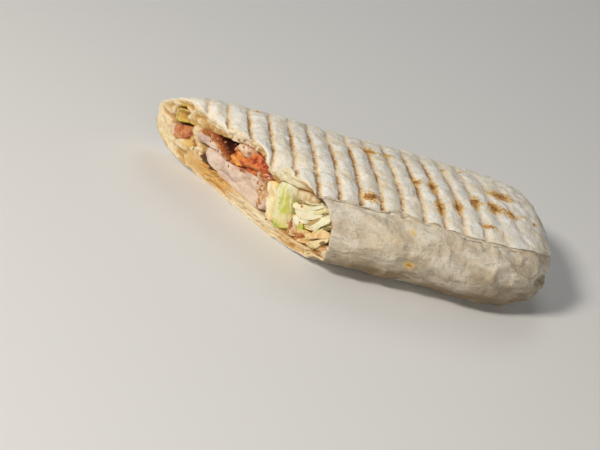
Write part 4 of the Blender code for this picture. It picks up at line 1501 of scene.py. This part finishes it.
# %% Finish the peppers and the tomato
TOMATO_SPOTS = (
    (31, 10.5, 3.0, 5.5, 10, 0.8, (0.86, 0.66, 0.47)), (24.6, 15.6, 1.6, 3.0, 0, 0.7, (0.50, 0.20, 0.05)),
)


def juicy_finish(name, dark, main, light, fleck):
    material, point = new_finish(name)
    broad = grain(point, 3.0, 4)
    fine = grain(point, 0.9, 3)
    colour = ramp(broad, (0.38, dark), (0.48, main), (0.62, light))
    colour = mix(rise(fine, 0.57, 0.7) * 0.6, colour, fleck)
    # painted shade: darker where the piece runs on behind the cut
    colour = mix(rise(field(point, "behind") + (fine - 0.5), 1.0, 3.2) * 0.75, colour, dark)
    colour = painted(colour, point, TOMATO_SPOTS)
    height = broad * 0.6 + fine * 0.4
    shade(point, colour, rise(fine, 0.3, 0.7) * 0.2 + 0.2, height, 0.5, soft(0.12, (1.0, 0.35, 0.15)))
    return material


pepper_red = juicy_finish(
    "pepper_red", (0.25, 0.028, 0.008), (0.58, 0.105, 0.02), (0.72, 0.23, 0.05), (0.78, 0.42, 0.17)
)
pepper_orange = juicy_finish(
    "pepper_orange", (0.50, 0.11, 0.012), (0.80, 0.28, 0.035), (0.86, 0.40, 0.08), (0.84, 0.50, 0.20)
)
tomato_pink = juicy_finish(
    "tomato_pink", (0.34, 0.07, 0.02), (0.52, 0.15, 0.045), (0.62, 0.27, 0.10), (0.76, 0.44, 0.22)
)

# %% [markdown]
# ## The shapes of the peppers and the tomato
#
# The small strip and the tomato are plain slabs with creases. The large pepper's skin is folded
# over along a slanted line, which takes a groove along the line and a soft roll above it.

# %% Make the peppers and the tomato
def pepper_fold(y, z):
    """The pepper's skin folds over, with a dark gap below the fold."""
    line = 18.6 - 0.42 * (y + 5)
    return 1.6 * bell(z - line, 0, 0.55) - 0.9 * bell(z - line, 2.0, 1.4) + 1.8 * smooth_step(-8.5, -11, y)


serve("pepper_small_strip", "pepper_small", [slab(
    "i1 i5 i6 i7 i2",
    depth=0.2, crown=0.4, edge=0.4, lumps=0.5, lump_size=1.9, seed=21, creases=0.9,
)], pepper_orange)
serve("pepper_large_piece", "pepper_large", [slab(
    "t5 t6 t7 t8 i10 i9 i8 i7 i6 i11",
    depth=-0.6, crown=0.6, edge=0.45, lumps=0.6, lump_size=3.0, seed=22, shape=pepper_fold, creases=1.0,
)], pepper_red)
serve("tomato_wedge", "tomato_piece", [slab(
    "a6 a7 a8 a9 a10 a11 a12",
    depth=0.1, crown=0.3, edge=0.4, lumps=0.45, lump_size=2.4, seed=23, creases=0.5,
)], tomato_pink)

# %% [markdown]
# ## Onion, cabbage and lettuce
#
# These are leaves and layers, so they are paler and let light through. One recipe serves the onion
# and the cabbage leaf, in three sets of colours: the onion bits are reddish and clear, the layer
# under the top sheet is a darker brown, painted shade from the sheet over it, and the cabbage is a
# warm cream. Deep behind the cut each is painted darker, as shade.

# %% Finish the onion and the cabbage leaf
def pale_finish(name, dark, main, light, edge_colour, roughness, clear):
    material, point = new_finish(name)
    veins = grain(point, 1.8, 3, (1.0, 1.4, 0.4))
    broad = grain(point, 3.0, 3)
    colour = ramp(broad, (0.37, dark), (0.48, main), (0.62, light))
    colour = mix(rise(veins, 0.54, 0.68) * 0.5, colour, light)
    colour = mix(rise(field(point, "inward") + (broad - 0.5) * 1.4, 0.6, 0.1) * 0.6, colour, edge_colour)
    # painted shade: darker deep behind the cut
    colour = mix(rise(field(point, "behind"), 2.5, 7.0) * 0.7, colour, dark)
    height = veins * 0.7 + grain(point, 0.5, 2) * 0.3
    sinking = soft(clear, (1.0, 0.8, 0.4), 1.8)
    shade(point, colour, rise(veins, 0.3, 0.7) * 0.15 + roughness, height, 0.35, sinking)
    return material


onion_clear = pale_finish(
    "onion_clear", (0.46, 0.21, 0.10), (0.70, 0.45, 0.28), (0.86, 0.70, 0.53), (0.56, 0.21, 0.07), 0.24, 0.12
)
# painted shade: a darker copy of the onion, for the layer in the shade of the top sheet
onion_shaded = pale_finish(
    "onion_shaded", (0.42, 0.26, 0.10), (0.60, 0.42, 0.21), (0.78, 0.64, 0.40), (0.36, 0.16, 0.05), 0.3, 0.2
)
cabbage_warm = pale_finish(
    "cabbage_warm", (0.87, 0.64, 0.30), (0.92, 0.81, 0.50), (0.94, 0.90, 0.70), (0.86, 0.60, 0.20), 0.36, 0.2
)

# %% [markdown]
# ## The lettuce rib
#
# The thick rib of the lettuce shows as a ridge, nearly white at its top and on one side and
# yellow-green along its crest. Its right side turns away and is painted darker, as painted shade.
# The ridge, the fine grooves that run along it and a split beside it all follow from the distance
# to a slanted line.

# %% Shape and finish the lettuce rib
RIB_CREAM = (0.88, 0.84, 0.56)
RIB_YELLOW = (0.70, 0.67, 0.15)
RIB_GREEN = (0.54, 0.56, 0.12)
RIB_SHADED = (0.40, 0.30, 0.08)
RIB_TOP = (0.86, 0.82, 0.58)
RIB_LIGHT = (0.90, 0.86, 0.62)
CREST_SPOT = (-17.6, 14.0, 1.6, 5.0, 0, 0.8, (0.56, 0.60, 0.04))
FOOT_SPOTS = (
    (-18.4, 9.0, 2.4, 3.4, 0, 0.8, (0.86, 0.74, 0.46)), (-16.3, 5.6, 2.4, 2.2, 0, 0.7, (0.52, 0.60, 0.10)),
)


def rib_relief(y, z):
    """The lettuce rib's ridge, its grooves, and the side that turns away."""
    crest = -16.4 - 0.13 * (z - 8)
    off = y - crest
    ridge = -1.2 * bell(off, 0, 1.5) + 2.4 * smooth_step(-1.4, -3.6, off) + 0.5 * bell(off, 1.5, 0.35)
    grooves = 0.25 * np.sin(off / 0.42 + 1.1 * np.sin(z / 3.1)) * smooth_step(3, 7, z)
    split = y + 15.8 + 0.13 * (z - 12) + 0.4 * np.sin(z / 2.2)
    grooves += 1.3 * bell(split, 0, 0.3) + 0.6 * smooth_step(0.2, -0.3, split)
    low_corner = 1.6 * smooth_step(-17.8, -20, y) * smooth_step(12, 7, z)
    return ridge + grooves + 0.3 * smooth_step(19.5, 23, z) + low_corner


def lettuce_finish():
    material, point = new_finish("lettuce_rib")
    veins = grain(point, 1.3, 3, (1.0, 1.8, 0.22))
    broad = grain(point, 3.4, 3)
    wavering = (broad - 0.5) * 3.0
    across_cut = point.node("SeparateXYZ", {}, {0: point}, "Y") + wavering
    up_cut = point.node("SeparateXYZ", {}, {0: point}, "Z") + wavering
    colour = mix(rise(across_cut, -15.2, -16.8), RIB_CREAM, RIB_YELLOW)
    colour = painted(colour, point, (CREST_SPOT,))
    # painted shade on the side of the rib that turns away
    colour = mix(rise(across_cut, -18.4, -19.8) * 0.92, colour, RIB_SHADED)
    colour = painted(colour, point, FOOT_SPOTS)
    colour = mix(rise(up_cut, 18.0, 22.0) * 0.85, colour, RIB_TOP)
    colour = mix(rise(veins, 0.52, 0.64) * 0.6, colour, RIB_LIGHT)
    colour = mix(rise(veins, 0.46, 0.36) * 0.5, colour, RIB_GREEN)
    height = veins * 0.8 + grain(point, 0.5, 2) * 0.2
    shade(point, colour, rise(veins, 0.3, 0.7) * 0.15 + 0.28, height, 0.35, soft(0.2, (1.0, 0.9, 0.3), 1.8))
    return material


print("crest of the rib stands out by", round(-float(rib_relief(-16.6, 9.0)), 2), "mm")

# %% [markdown]
# ## The shapes of these leaves and layers
#
# The onion bits are two soft lobes with a gap between them, and lie a little behind the cut, as
# the brown layer does. The cabbage leaf is creased but otherwise plain.

# %% Make the onion, the cabbage leaf and the lettuce rib
def onion_lobes(y, z):
    """Two soft lobes with a gap between them."""
    return 1.6 * bell(y + 0.25 * (z - 22), -0.9, 0.7) - 0.5


serve("onion_piece_cut", "onion_piece", [slab(
    "t3 t4 t5 i11 i6 i5 i1",
    depth=0.9, crown=0.5, edge=0.4, lumps=0.4, lump_size=2.0, seed=31, shape=onion_lobes, creases=0.4,
)], onion_clear)
serve("onion_layer_cut", "onion_layer", [slab(
    "t11 t12 i20 i19 i16",
    depth=0.9, crown=0.4, edge=0.4, lumps=0.6, lump_size=2.2, seed=32, creases=1.3,
)], onion_shaded)
serve("cabbage_leaf_fold", "cabbage_leaf", [slab(
    "t8 t9 i14 i15 b3 b4 i10",
    depth=0.2, crown=0.3, edge=0.35, lumps=0.6, lump_size=2.0, seed=33, creases=0.9,
)], cabbage_warm)
serve("lettuce_rib_cut", "lettuce_rib", [slab(
    "t9 t10 t11 i16 i17 i18 b2 b3 i15 i14",
    depth=0.2, crown=0.4, edge=0.6, lumps=0.35, lump_size=2.4, seed=34, shape=rib_relief, creases=0.2,
)], lettuce_finish())

# %% [markdown]
# ## Shredded cabbage
#
# On the right of the cut the cabbage shows as a fan of shreds, pale above and soaked in sauce
# below. A shred is a flat ribbon. We bend a smooth spine from a few points, sweep an oval along it,
# and let its width wander and the ribbon twist. The shreds that catch the eye are placed one by one,
# and a fan with seeded draws adds thinner ones between them.

# %% Write the shred maker
SHRED_STEPS = 26
SHRED_SIDES = 12


def smooth_line(points, count):
    """A smooth curve near the points, from the first one to the last."""
    rounded = cut_corners(points, 3, closed=False)
    gone = np.concatenate(([0], np.cumsum(np.linalg.norm(np.diff(rounded, axis=0), axis=1))))
    at = np.linspace(0, gone[-1], count)
    return np.stack([np.interp(at, gone, column) for column in rounded.T], 1)


def shred(spine, width, thick, twist, tint, seed):
    """A ribbon along a spine of (across, up, depth behind the cut) on the cut face."""
    line = smooth_line(spine, SHRED_STEPS)
    heading = np.gradient(line[:, :2], axis=0)
    heading /= np.linalg.norm(heading, axis=1)[:, None]
    side = np.stack((-heading[:, 1], heading[:, 0]), 1)
    share = np.linspace(0, 1, SHRED_STEPS)
    taper = np.clip(1 - (2 * share - 1) ** 12, 0.03, 1) ** 0.5
    wander = 1 + 0.4 * noise(to_points(share * 9, seed * 2.7, 0.5), 1.6, seed)
    lean = twist * (share - 0.5) + 0.6 * noise(to_points(share * 5, seed * 1.3, 2.5), 2.0, seed)
    turn = np.arange(SHRED_SIDES) / SHRED_SIDES * 2 * math.pi
    flat = signed_power(np.cos(turn), 0.6) * width / 2
    deep = signed_power(np.sin(turn), 0.6) * thick / 2
    flat = flat * (wander * taper)[:, None]
    deep = deep * taper[:, None]
    out = flat * np.cos(lean)[:, None] - deep * np.sin(lean)[:, None]
    back = flat * np.sin(lean)[:, None] + deep * np.cos(lean)[:, None]
    yz = line[:, None, :2] + side[:, None] * out[..., None]
    x = cut_x(yz[..., 0], yz[..., 1]) + line[:, 2:] + back
    points = to_points(x, yz[..., 0], yz[..., 1]).reshape(-1, 3)
    faces = [
        f for k in range(SHRED_STEPS - 1)
        for f in ring_faces(k * SHRED_SIDES, (k + 1) * SHRED_SIDES, SHRED_SIDES).tolist()
    ]
    faces.append(list(range(SHRED_SIDES)))
    faces.append(list(range(len(points) - SHRED_SIDES, len(points))))
    near_edge = 1.2 * (1 - np.abs(flat) / np.maximum(np.abs(flat).max(1), 1e-6)[:, None]).ravel()
    fields = {"inward": near_edge, "behind": np.repeat(line[:, 2] - 1, SHRED_SIDES)}
    return points, faces, {**fields, "tint": np.full(len(points), tint)}


def fan(starts, ends, count, depths, widths, seed):
    """Shreds from points along one line to points along another, each bowed its own way."""
    rng = np.random.default_rng(seed)
    made = []
    for k in range(count):
        t = (k + rng.uniform(-0.3, 0.3)) / max(count - 1, 1)
        start = np.array(starts[0]) + (np.array(starts[1]) - starts[0]) * t + rng.uniform(-0.7, 0.7, 2)
        end = np.array(ends[0]) + (np.array(ends[1]) - ends[0]) * t + rng.uniform(-0.5, 0.5, 2)
        across_it = np.array((-(end - start)[1], (end - start)[0])) / np.linalg.norm(end - start)
        bow = rng.uniform(-1.2, 1.2, 2)
        spine = []
        for share, off in ((0, 0), (0.33, bow[0]), (0.67, bow[1]), (1, 0)):
            deep = depths[0] + (depths[1] - depths[0]) * rng.uniform() + 1.6 * abs(2 * share - 1) ** 2
            spine.append((*(start + (end - start) * share + across_it * off), deep))
        made.append(shred(spine, rng.uniform(*widths), 0.6, rng.uniform(-1.4, 1.4), rng.uniform(), seed + k))
    return made


def with_tint(part, tint):
    points, faces, fields = part
    return points, faces, {**fields, "tint": np.full(len(points), tint)}


# %% [markdown]
# ## The colours of the shreds
#
# Every shred carries a tint of its own, which picks its place on a ramp of three colours. Noise
# adds sauce, and a few soft spots put painted shade in the dark gaps, the orange sauce and a green
# bit where they lie on the real food. The deeper a shred lies behind the cut, the browner it is
# painted, as shade.

# %% Finish the shredded cabbage
DEEP_SHADE_BROWN = (0.30, 0.15, 0.03)


def shredded_finish(name, stops, stained, roughness, spots):
    material, point = new_finish(name)
    veins = grain(point, 1.2, 3)
    broad = grain(point, 3.0, 3)
    colour = ramp(field(point, "tint") * 0.6 + broad * 0.4, *stops)
    colour = mix(rise(veins, 0.5, 0.68) * 0.4, colour, stops[-1][1])
    colour = mix(rise(broad + (veins - 0.5) * 0.6, 0.5, 0.68) * 0.7, colour, stained)
    for y, z, long, short, turn, paint in spots:
        spot = near(point, y, z, long, short, turn) + (veins - 0.5) * 0.7
        colour = mix(rise(spot, 0.25, 0.7) * 0.85, colour, paint)
    # painted shade: browner the deeper a shred lies behind the cut
    colour = mix(rise(field(point, "behind") + (veins - 0.5), 0.9, 2.6) * 0.85, colour, DEEP_SHADE_BROWN)
    height = veins * 0.7 + grain(point, 0.5, 2) * 0.3
    shade(point, colour, rise(veins, 0.3, 0.7) * 0.15 + roughness, height, 0.25, soft(0.2, (1.0, 0.8, 0.4)))
    return material


# the darkest spots in these lists are painted shade in the gaps between shreds
pale_cabbage = shredded_finish(
    "cabbage_pale", ((0.25, (0.76, 0.64, 0.24)), (0.42, (0.91, 0.78, 0.40)), (0.7, (0.93, 0.86, 0.58))),
    (0.90, 0.74, 0.42), 0.3, (
        (-29.4, 16.2, 5.2, 1.1, 124, (0.46, 0.25, 0.04)), (-34.2, 17.2, 3.2, 1.0, 138, (0.16, 0.10, 0.02)),
        (-27.6, 21.2, 3.0, 0.7, 142, (0.60, 0.46, 0.14)),
    ),
)
saucy_cabbage = shredded_finish(
    "cabbage_saucy", ((0.25, (0.68, 0.33, 0.10)), (0.45, (0.88, 0.55, 0.23)), (0.7, (0.93, 0.73, 0.41))),
    (0.70, 0.34, 0.10), 0.26, (
        (-25.4, 11.2, 2.0, 1.5, 120, (0.50, 0.56, 0.05)), (-25.0, 7.6, 4.2, 1.4, 150, (0.52, 0.17, 0.03)),
        (-20.8, 9.2, 1.7, 3.4, 1, (0.60, 0.34, 0.16)), (-23.4, 12.2, 1.8, 2.4, 1, (0.92, 0.86, 0.64)),
        (-34.4, 11.6, 2.2, 0.9, 130, (0.14, 0.06, 0.015)), (-31.2, 6.4, 2.8, 0.8, 160, (0.36, 0.14, 0.03)),
        (-28.2, 11.6, 2.2, 0.7, 130, (0.44, 0.20, 0.04)),
    ),
)

# %% [markdown]
# ## The two heaps
#
# Each heap is one piece: a creased core that fills the gaps, the placed ribbons, and fans of thin
# shreds. Spines are given across, up and behind the cut, so a ribbon can dip below its neighbour.

# %% Make the shredded cabbage
PALE_RIBBONS = (  # spine, width and tint
    (((-20.8, 17.0, 0.6), (-23.4, 17.2, 0.0), (-26.4, 18.6, 0.0), (-29.2, 21.2, 0.9)), 2.2, 0.7),
    (((-25.6, 18.6, 0.8), (-28.4, 20.6, 0.1), (-30.2, 22.4, 0.1), (-31.4, 23.8, 0.6)), 1.0, 0.9),
    (((-26.6, 17.4, 0.9), (-29.4, 19.6, 0.2), (-31.6, 22.0, 0.1), (-32.8, 23.4, 0.6)), 1.3, 0.4),
    (((-21.6, 14.6, 0.8), (-24.4, 15.2, -0.1), (-27.4, 17.0, 0.0), (-30.8, 20.2, 1.0)), 2.6, 1.0),
    (((-23.0, 12.6, 1.0), (-25.4, 13.4, 0.4), (-27.6, 15.2, 0.9)), 1.7, 0.8),
    (((-27.4, 12.6, 0.9), (-29.8, 15.0, 0.0), (-32.2, 18.4, -0.1), (-34.4, 21.4, 0.7)), 2.7, 0.95),
    (((-28.8, 11.8, 1.0), (-31.4, 14.0, 0.6), (-33.6, 16.8, 0.7), (-35.2, 18.8, 1.0)), 1.1, 0.1),
    (((-31.6, 18.6, 1.0), (-33.2, 20.4, 0.5), (-34.2, 21.8, 0.8)), 1.5, 0.6),
)
SAUCY_RIBBONS = (
    (((-22.6, 13.8, 0.6), (-23.2, 11.8, 0.0), (-24.0, 9.6, 0.9)), 2.3, 0.95),
    (((-25.0, 12.8, 0.6), (-25.2, 11.0, 0.2), (-26.0, 9.2, 0.8)), 1.6, 0.6),
    (((-27.0, 9.2, 0.9), (-29.8, 10.8, 0.0), (-32.6, 13.2, 0.0), (-35.0, 16.0, 0.9)), 2.3, 0.6),
    (((-28.4, 6.4, 0.9), (-31.4, 8.4, 0.0), (-33.4, 11.2, 0.2), (-35.2, 14.0, 1.0)), 2.4, 0.85),
    (((-24.6, 5.6, 0.8), (-27.2, 7.0, 0.3), (-29.4, 9.6, 1.0)), 1.5, 0.45),
)
RIBBON_THICK = 0.5
RIBBON_TWIST = 1.2


def ribbons(listed, seed):
    """The listed ribbons, which twist to one side and the other in turn."""
    made = []
    for k, (spine, width, tint) in enumerate(listed):
        made.append(shred(spine, width, RIBBON_THICK, RIBBON_TWIST * (-1) ** k, tint, seed + k))
    return made


serve("cabbage_shreds_pale", "cabbage_shreds", [
    with_tint(slab(
        "i16 i19 i20 t12 t13 t14 r1 r5 i21 i22 i17",
        depth=1.7, crown=0.3, edge=0.4, lumps=0.9, lump_size=1.6, seed=41, creases=1.6,
    ), 0.25),
    *ribbons(PALE_RIBBONS, 400),
    *fan(
        ((-21.2, 17.0), (-27.0, 11.8)), ((-30.0, 23.0), (-34.8, 18.4)),
        count=6, depths=(0.9, 1.6), widths=(0.5, 1.0), seed=411,
    ),
], pale_cabbage)
serve("cabbage_shreds_saucy", "cabbage_in_sauce", [
    with_tint(slab(
        "i17 i22 i21 r5 r2 r3 r4 b1 b2 i18",
        depth=1.3, crown=0.3, edge=0.4, lumps=0.9, lump_size=1.7, seed=42, creases=1.8,
    ), 0.4),
    *ribbons(SAUCY_RIBBONS, 450),
    *fan(
        ((-21.4, 11.4), (-24.4, 6.0)), ((-35.0, 15.0), (-32.4, 7.6)),
        count=5, depths=(0.7, 1.4), widths=(0.5, 1.1), seed=421,
    ),
    *fan(
        ((-20.6, 6.4), (-21.4, 11.0)), ((-22.6, 6.4), (-23.6, 10.0)),
        count=5, depths=(0.2, 0.9), widths=(0.8, 1.5), seed=441,
    ),
], saucy_cabbage)

# %% [markdown]
# ## The leaf in the small pocket
#
# A soft leaf lines the small pocket at the tip. At the cut it curls round the pocket's side, and
# further in it sways to and fro. It is one thin sheet: a spine on each of many rings, offset to
# both sides by half the leaf's thickness, with waves along and across it. The edge at the cut is
# torn a little.

# %% Make the leaf
LEAF_AT_CUT = ((26.2, 21.5), (28.6, 20.9), (30.2, 18.8), (30.1, 16.4), (28.1, 16.1))
LEAF_INSIDE = ((25.7, 21.2), (27.8, 20.3), (29.0, 18.4), (29.2, 16.9), (27.8, 16.7))
LEAF_THICK = 0.8
LEAF_POINTS = 22
LEAF_END = 137
LEAF_VEINS = ((0.38, (0.50, 0.31, 0.05)), (0.5, (0.62, 0.42, 0.10)), (0.64, (0.76, 0.60, 0.26)))
LEAF_AMBER = (0.66, 0.37, 0.07)
LEAF_GREEN = (0.72, 0.64, 0.10)


def leaf():
    start = smooth_line(np.array(LEAF_AT_CUT), LEAF_POINTS)
    inside = smooth_line(np.array(LEAF_INSIDE), LEAF_POINTS)
    depths = np.concatenate((np.linspace(0.2, 12, 24), np.linspace(14, 60, 16), np.linspace(64, 108, 10)))
    shares = np.interp(depths, (0.7, 3, 6, 14, 26, 45, 60, 108), (0, 0.35, 1, 0.6, 0.9, 0.4, 0.8, 0.6))
    rings = []
    for depth, share in zip(depths, shares):
        spine = start + (inside - start) * share
        wave = 0.35 * noise(to_points(depth, *spine.T), 3.0, 91) * smooth_step(0, 3, depth)
        heading = np.gradient(spine, axis=0)
        side = np.stack((-heading[:, 1], heading[:, 0]), 1) / np.linalg.norm(heading, axis=1)[:, None]
        spine = spine + side * wave[:, None]
        thin = LEAF_THICK / 2 * np.sin(np.linspace(0.25, math.pi - 0.25, LEAF_POINTS)) ** 0.4
        loop = np.concatenate((spine + side * thin[:, None], (spine - side * thin[:, None])[::-1]))
        ragged_edge = 0.5 * noise(to_points(0.0, *loop.T), 1.5, 93) * smooth_step(4, 0, depth)
        x = np.minimum(cut_x(*loop.T) + depth + ragged_edge, LEAF_END)
        rings.append(carried(x, *loop.T))
    count = len(rings[0])
    faces = [f for k in range(len(rings) - 1) for f in ring_faces(k * count, (k + 1) * count, count).tolist()]
    faces.append(list(range(count)))
    points = np.concatenate(rings)
    faces.append(list(range(len(points) - count, len(points))))
    return points, faces, {"inward": np.ones(len(points)), "behind": np.repeat(depths, count)}


def leaf_finish():
    material, point = new_finish("pocket_leaf")
    veins = grain(point, 1.4, 3)
    colour = mix(rise(field(point, "behind"), 0.4, 3.0), ramp(veins, *LEAF_VEINS), LEAF_AMBER)
    colour = painted(colour, point, ((28.6, 15.9, 1.8, 1.2, 0, 0.8, LEAF_GREEN),))
    shade(point, colour, rise(veins, 0.3, 0.7) * 0.15 + 0.3, veins, 0.35, soft(0.15, (1.0, 0.8, 0.2), 1.2))
    return material


serve("pocket_leaf_curl", "pocket_leaf", [leaf()], leaf_finish())

# %% [markdown]
# ## Crumbs, spice and herbs
#
# A cut wrap is messy: red-brown spice sits between the pieces, crumbs of browned meat cover the
# edge of the chicken, torn flakes of bread lie along the cut edge, and herbs are dotted about. Each
# bit is a small lump of mesh at true size. We throw it at the food along the wrap, find where the
# ray lands, and sink the lump into that place, so that it is stuck on from every side.

# %% Write the lump and scatter helpers
from mathutils.bvhtree import BVHTree

BIT_RINGS = 5
BIT_SIDES = 8
THROWN_FROM = 6  # in front of the cut
DEEPEST = 7  # behind the cut
STAND_OFF = 0.12  # how far a lump's middle lies above the surface, as a share of its thickness
ALONG_WRAP = Vector((1, 0, 0))


def surface_of(objects):
    """One search tree over several objects, in millimetres along the wrap."""
    points = []
    faces = []
    for made in objects:
        start = len(points)
        points += [(v.co.x / MM + LENGTH / 2, v.co.y / MM, v.co.z / MM) for v in made.data.vertices]
        faces += [[start + i for i in face.vertices] for face in made.data.polygons]
    return BVHTree.FromPolygons(points, faces)


def lump(centre, normal, size, flatness, rng):
    """A small uneven lump: a rough ball, pressed flat against the surface under it."""
    out = Vector(normal)
    turn = out.to_track_quat("Z", "Y").to_matrix() @ Matrix.Rotation(rng.uniform(0, 2 * math.pi), 3, "Z")
    stretch = np.array((rng.uniform(0.75, 1.5), rng.uniform(0.7, 1.1), flatness)) * size / 2
    rows = [(0, 0, -1)]
    for lat in np.linspace(-60, 60, BIT_RINGS) * math.pi / 180:
        for k in range(BIT_SIDES):
            lon = (k + 0.5 * rng.uniform(-0.5, 0.5)) / BIT_SIDES * 2 * math.pi
            rows.append((math.cos(lat) * math.cos(lon), math.cos(lat) * math.sin(lon), math.sin(lat)))
    rows.append((0, 0, 1))
    ball = np.array(rows)
    ball = ball * (1 + 0.55 * noise(ball + rng.uniform(0, 50, 3), 0.8, 7))[:, None] * stretch
    points = ball @ np.array(turn).T + np.array(centre)
    faces = [[0, 1 + (k + 1) % BIT_SIDES, 1 + k] for k in range(BIT_SIDES)]
    for ring in range(BIT_RINGS - 1):
        faces += ring_faces(1 + ring * BIT_SIDES, 1 + (ring + 1) * BIT_SIDES, BIT_SIDES).tolist()
    last = 1 + (BIT_RINGS - 1) * BIT_SIDES
    faces += [[last + k, last + (k + 1) % BIT_SIDES, len(rows) - 1] for k in range(BIT_SIDES)]
    return points, faces


def scatter(tree, areas, size, flatness, seed, lightest=1.0):
    """Lumps over areas (across, up, reach across, reach up, count) of the cut face."""
    rng = np.random.default_rng(seed)
    made = []
    for y, z, wide, tall, count in areas:
        for _ in range(count):
            spot_y = y + wide * rng.normal() * 0.5
            spot_z = z + tall * rng.normal() * 0.5
            cut = cut_x(spot_y, spot_z)
            hit, normal, _, _ = tree.ray_cast(Vector((cut - THROWN_FROM, spot_y, spot_z)), ALONG_WRAP)
            big = rng.uniform(*size)
            if hit is None or hit.x > cut + DEEPEST:
                continue
            points, faces = lump(hit + normal * big * STAND_OFF * flatness, normal, big, flatness, rng)
            made.append((points, faces, {"tint": np.full(len(points), rng.uniform(0, lightest))}))
    return made


# %% [markdown]
# ## Where the bits lie
#
# Each area is a place on the cut face, a reach across and up, and how many bits fall there. One
# finish serves every kind, with its own ramp: a bit's tint picks its place on it, and the lightest
# tints are kept out of the spice, because pale dots in the dark hollow would look like beads.

# %% Scatter the bits on the cut
def bit_finish(name, stops, roughness):
    material, point = new_finish(name)
    fine = grain(point, 0.7, 3)
    colour = ramp(field(point, "tint") * 0.6 + fine * 0.4, *stops)
    shade(point, colour, rise(fine, 0.3, 0.7) * 0.2 + roughness, fine, 0.2, soft(0.1))
    return material


cut_surface = surface_of([flatbread, *served])
SPICE_AREAS = (
    (14.0, 19.4, 3.6, 1.6, 14), (6.5, 14.6, 3.4, 1.6, 9), (-9.8, 19.5, 1.4, 2.0, 8), (-1.5, 16.2, 4, 1.6, 8),
    (-20.9, 9.2, 1.3, 2.8, 46), (-25, 7.4, 3.4, 1.4, 12), (-13.0, 5.4, 2.4, 1.4, 8), (0, 25.0, 8.0, 1.4, 10),
    (-22.6, 18.8, 2.0, 1.2, 6), (12.6, 18.8, 3.0, 1.0, 20), (8.0, 16.4, 2.4, 0.9, 16),
)
MEAT_AREAS = (
    (-9.0, 14.6, 1.4, 3.4, 60), (-9.4, 18.4, 1.3, 1.6, 22), (-7.4, 17.8, 1.6, 1.0, 12),
    (-8.8, 8.8, 1.0, 2.4, 14),
)
FLAKE_AREAS = (
    (9, 24.2, 8, 1.0, 12), (-4, 26.2, 6, 1.2, 8), (20, 8, 3, 3, 5), (34, 12, 2.5, 6, 4),
    (-7.5, 19.0, 1.6, 1.2, 9),
)
HERB_AREAS = ((-16.4, 5.2, 1.2, 0.8, 3), (0.6, 18.2, 0.8, 0.6, 3), (-30, 9, 4, 3, 3), (24, 14, 5, 7, 3))
spice = bit_finish(
    "spice_bits", ((0.3, (0.36, 0.10, 0.025)), (0.48, (0.60, 0.27, 0.085)), (0.7, (0.82, 0.58, 0.32))), 0.35
)
flakes = bit_finish(
    "bread_flakes", ((0.3, (0.66, 0.42, 0.18)), (0.5, (0.78, 0.57, 0.31)), (0.7, (0.85, 0.71, 0.48))), 0.6
)
herbs = bit_finish(
    "herb_bits", ((0.3, (0.16, 0.22, 0.02)), (0.5, (0.34, 0.44, 0.05)), (0.7, (0.55, 0.62, 0.12))), 0.35
)
serve("spice_crumbs", "", [
    *scatter(cut_surface, SPICE_AREAS, size=(0.4, 1.1), flatness=0.45, seed=501, lightest=0.5),
    *scatter(cut_surface, MEAT_AREAS, size=(0.4, 1.3), flatness=0.35, seed=504),
], spice)
bread_bits = scatter(cut_surface, FLAKE_AREAS, size=(0.6, 1.5), flatness=0.25, seed=502)
serve("bread_flakes", "", bread_bits, flakes)
herb_bits = scatter(cut_surface, HERB_AREAS, size=(0.5, 1.0), flatness=0.4, seed=503)
serve("herb_specks", "", herb_bits, herbs)

# %% [markdown]
# ## Floor finish
#
# The floor gets a plain pale finish.

# %% Finish the floor
FLOOR_COLOUR = (0.80, 0.79, 0.77, 1)
floor_material, floor_point = new_finish("pale_floor")
shade(floor_point, FLOOR_COLOUR, 0.7, grain(floor_point, 60, 2), 0.02, {})
dress(floor, floor_material)
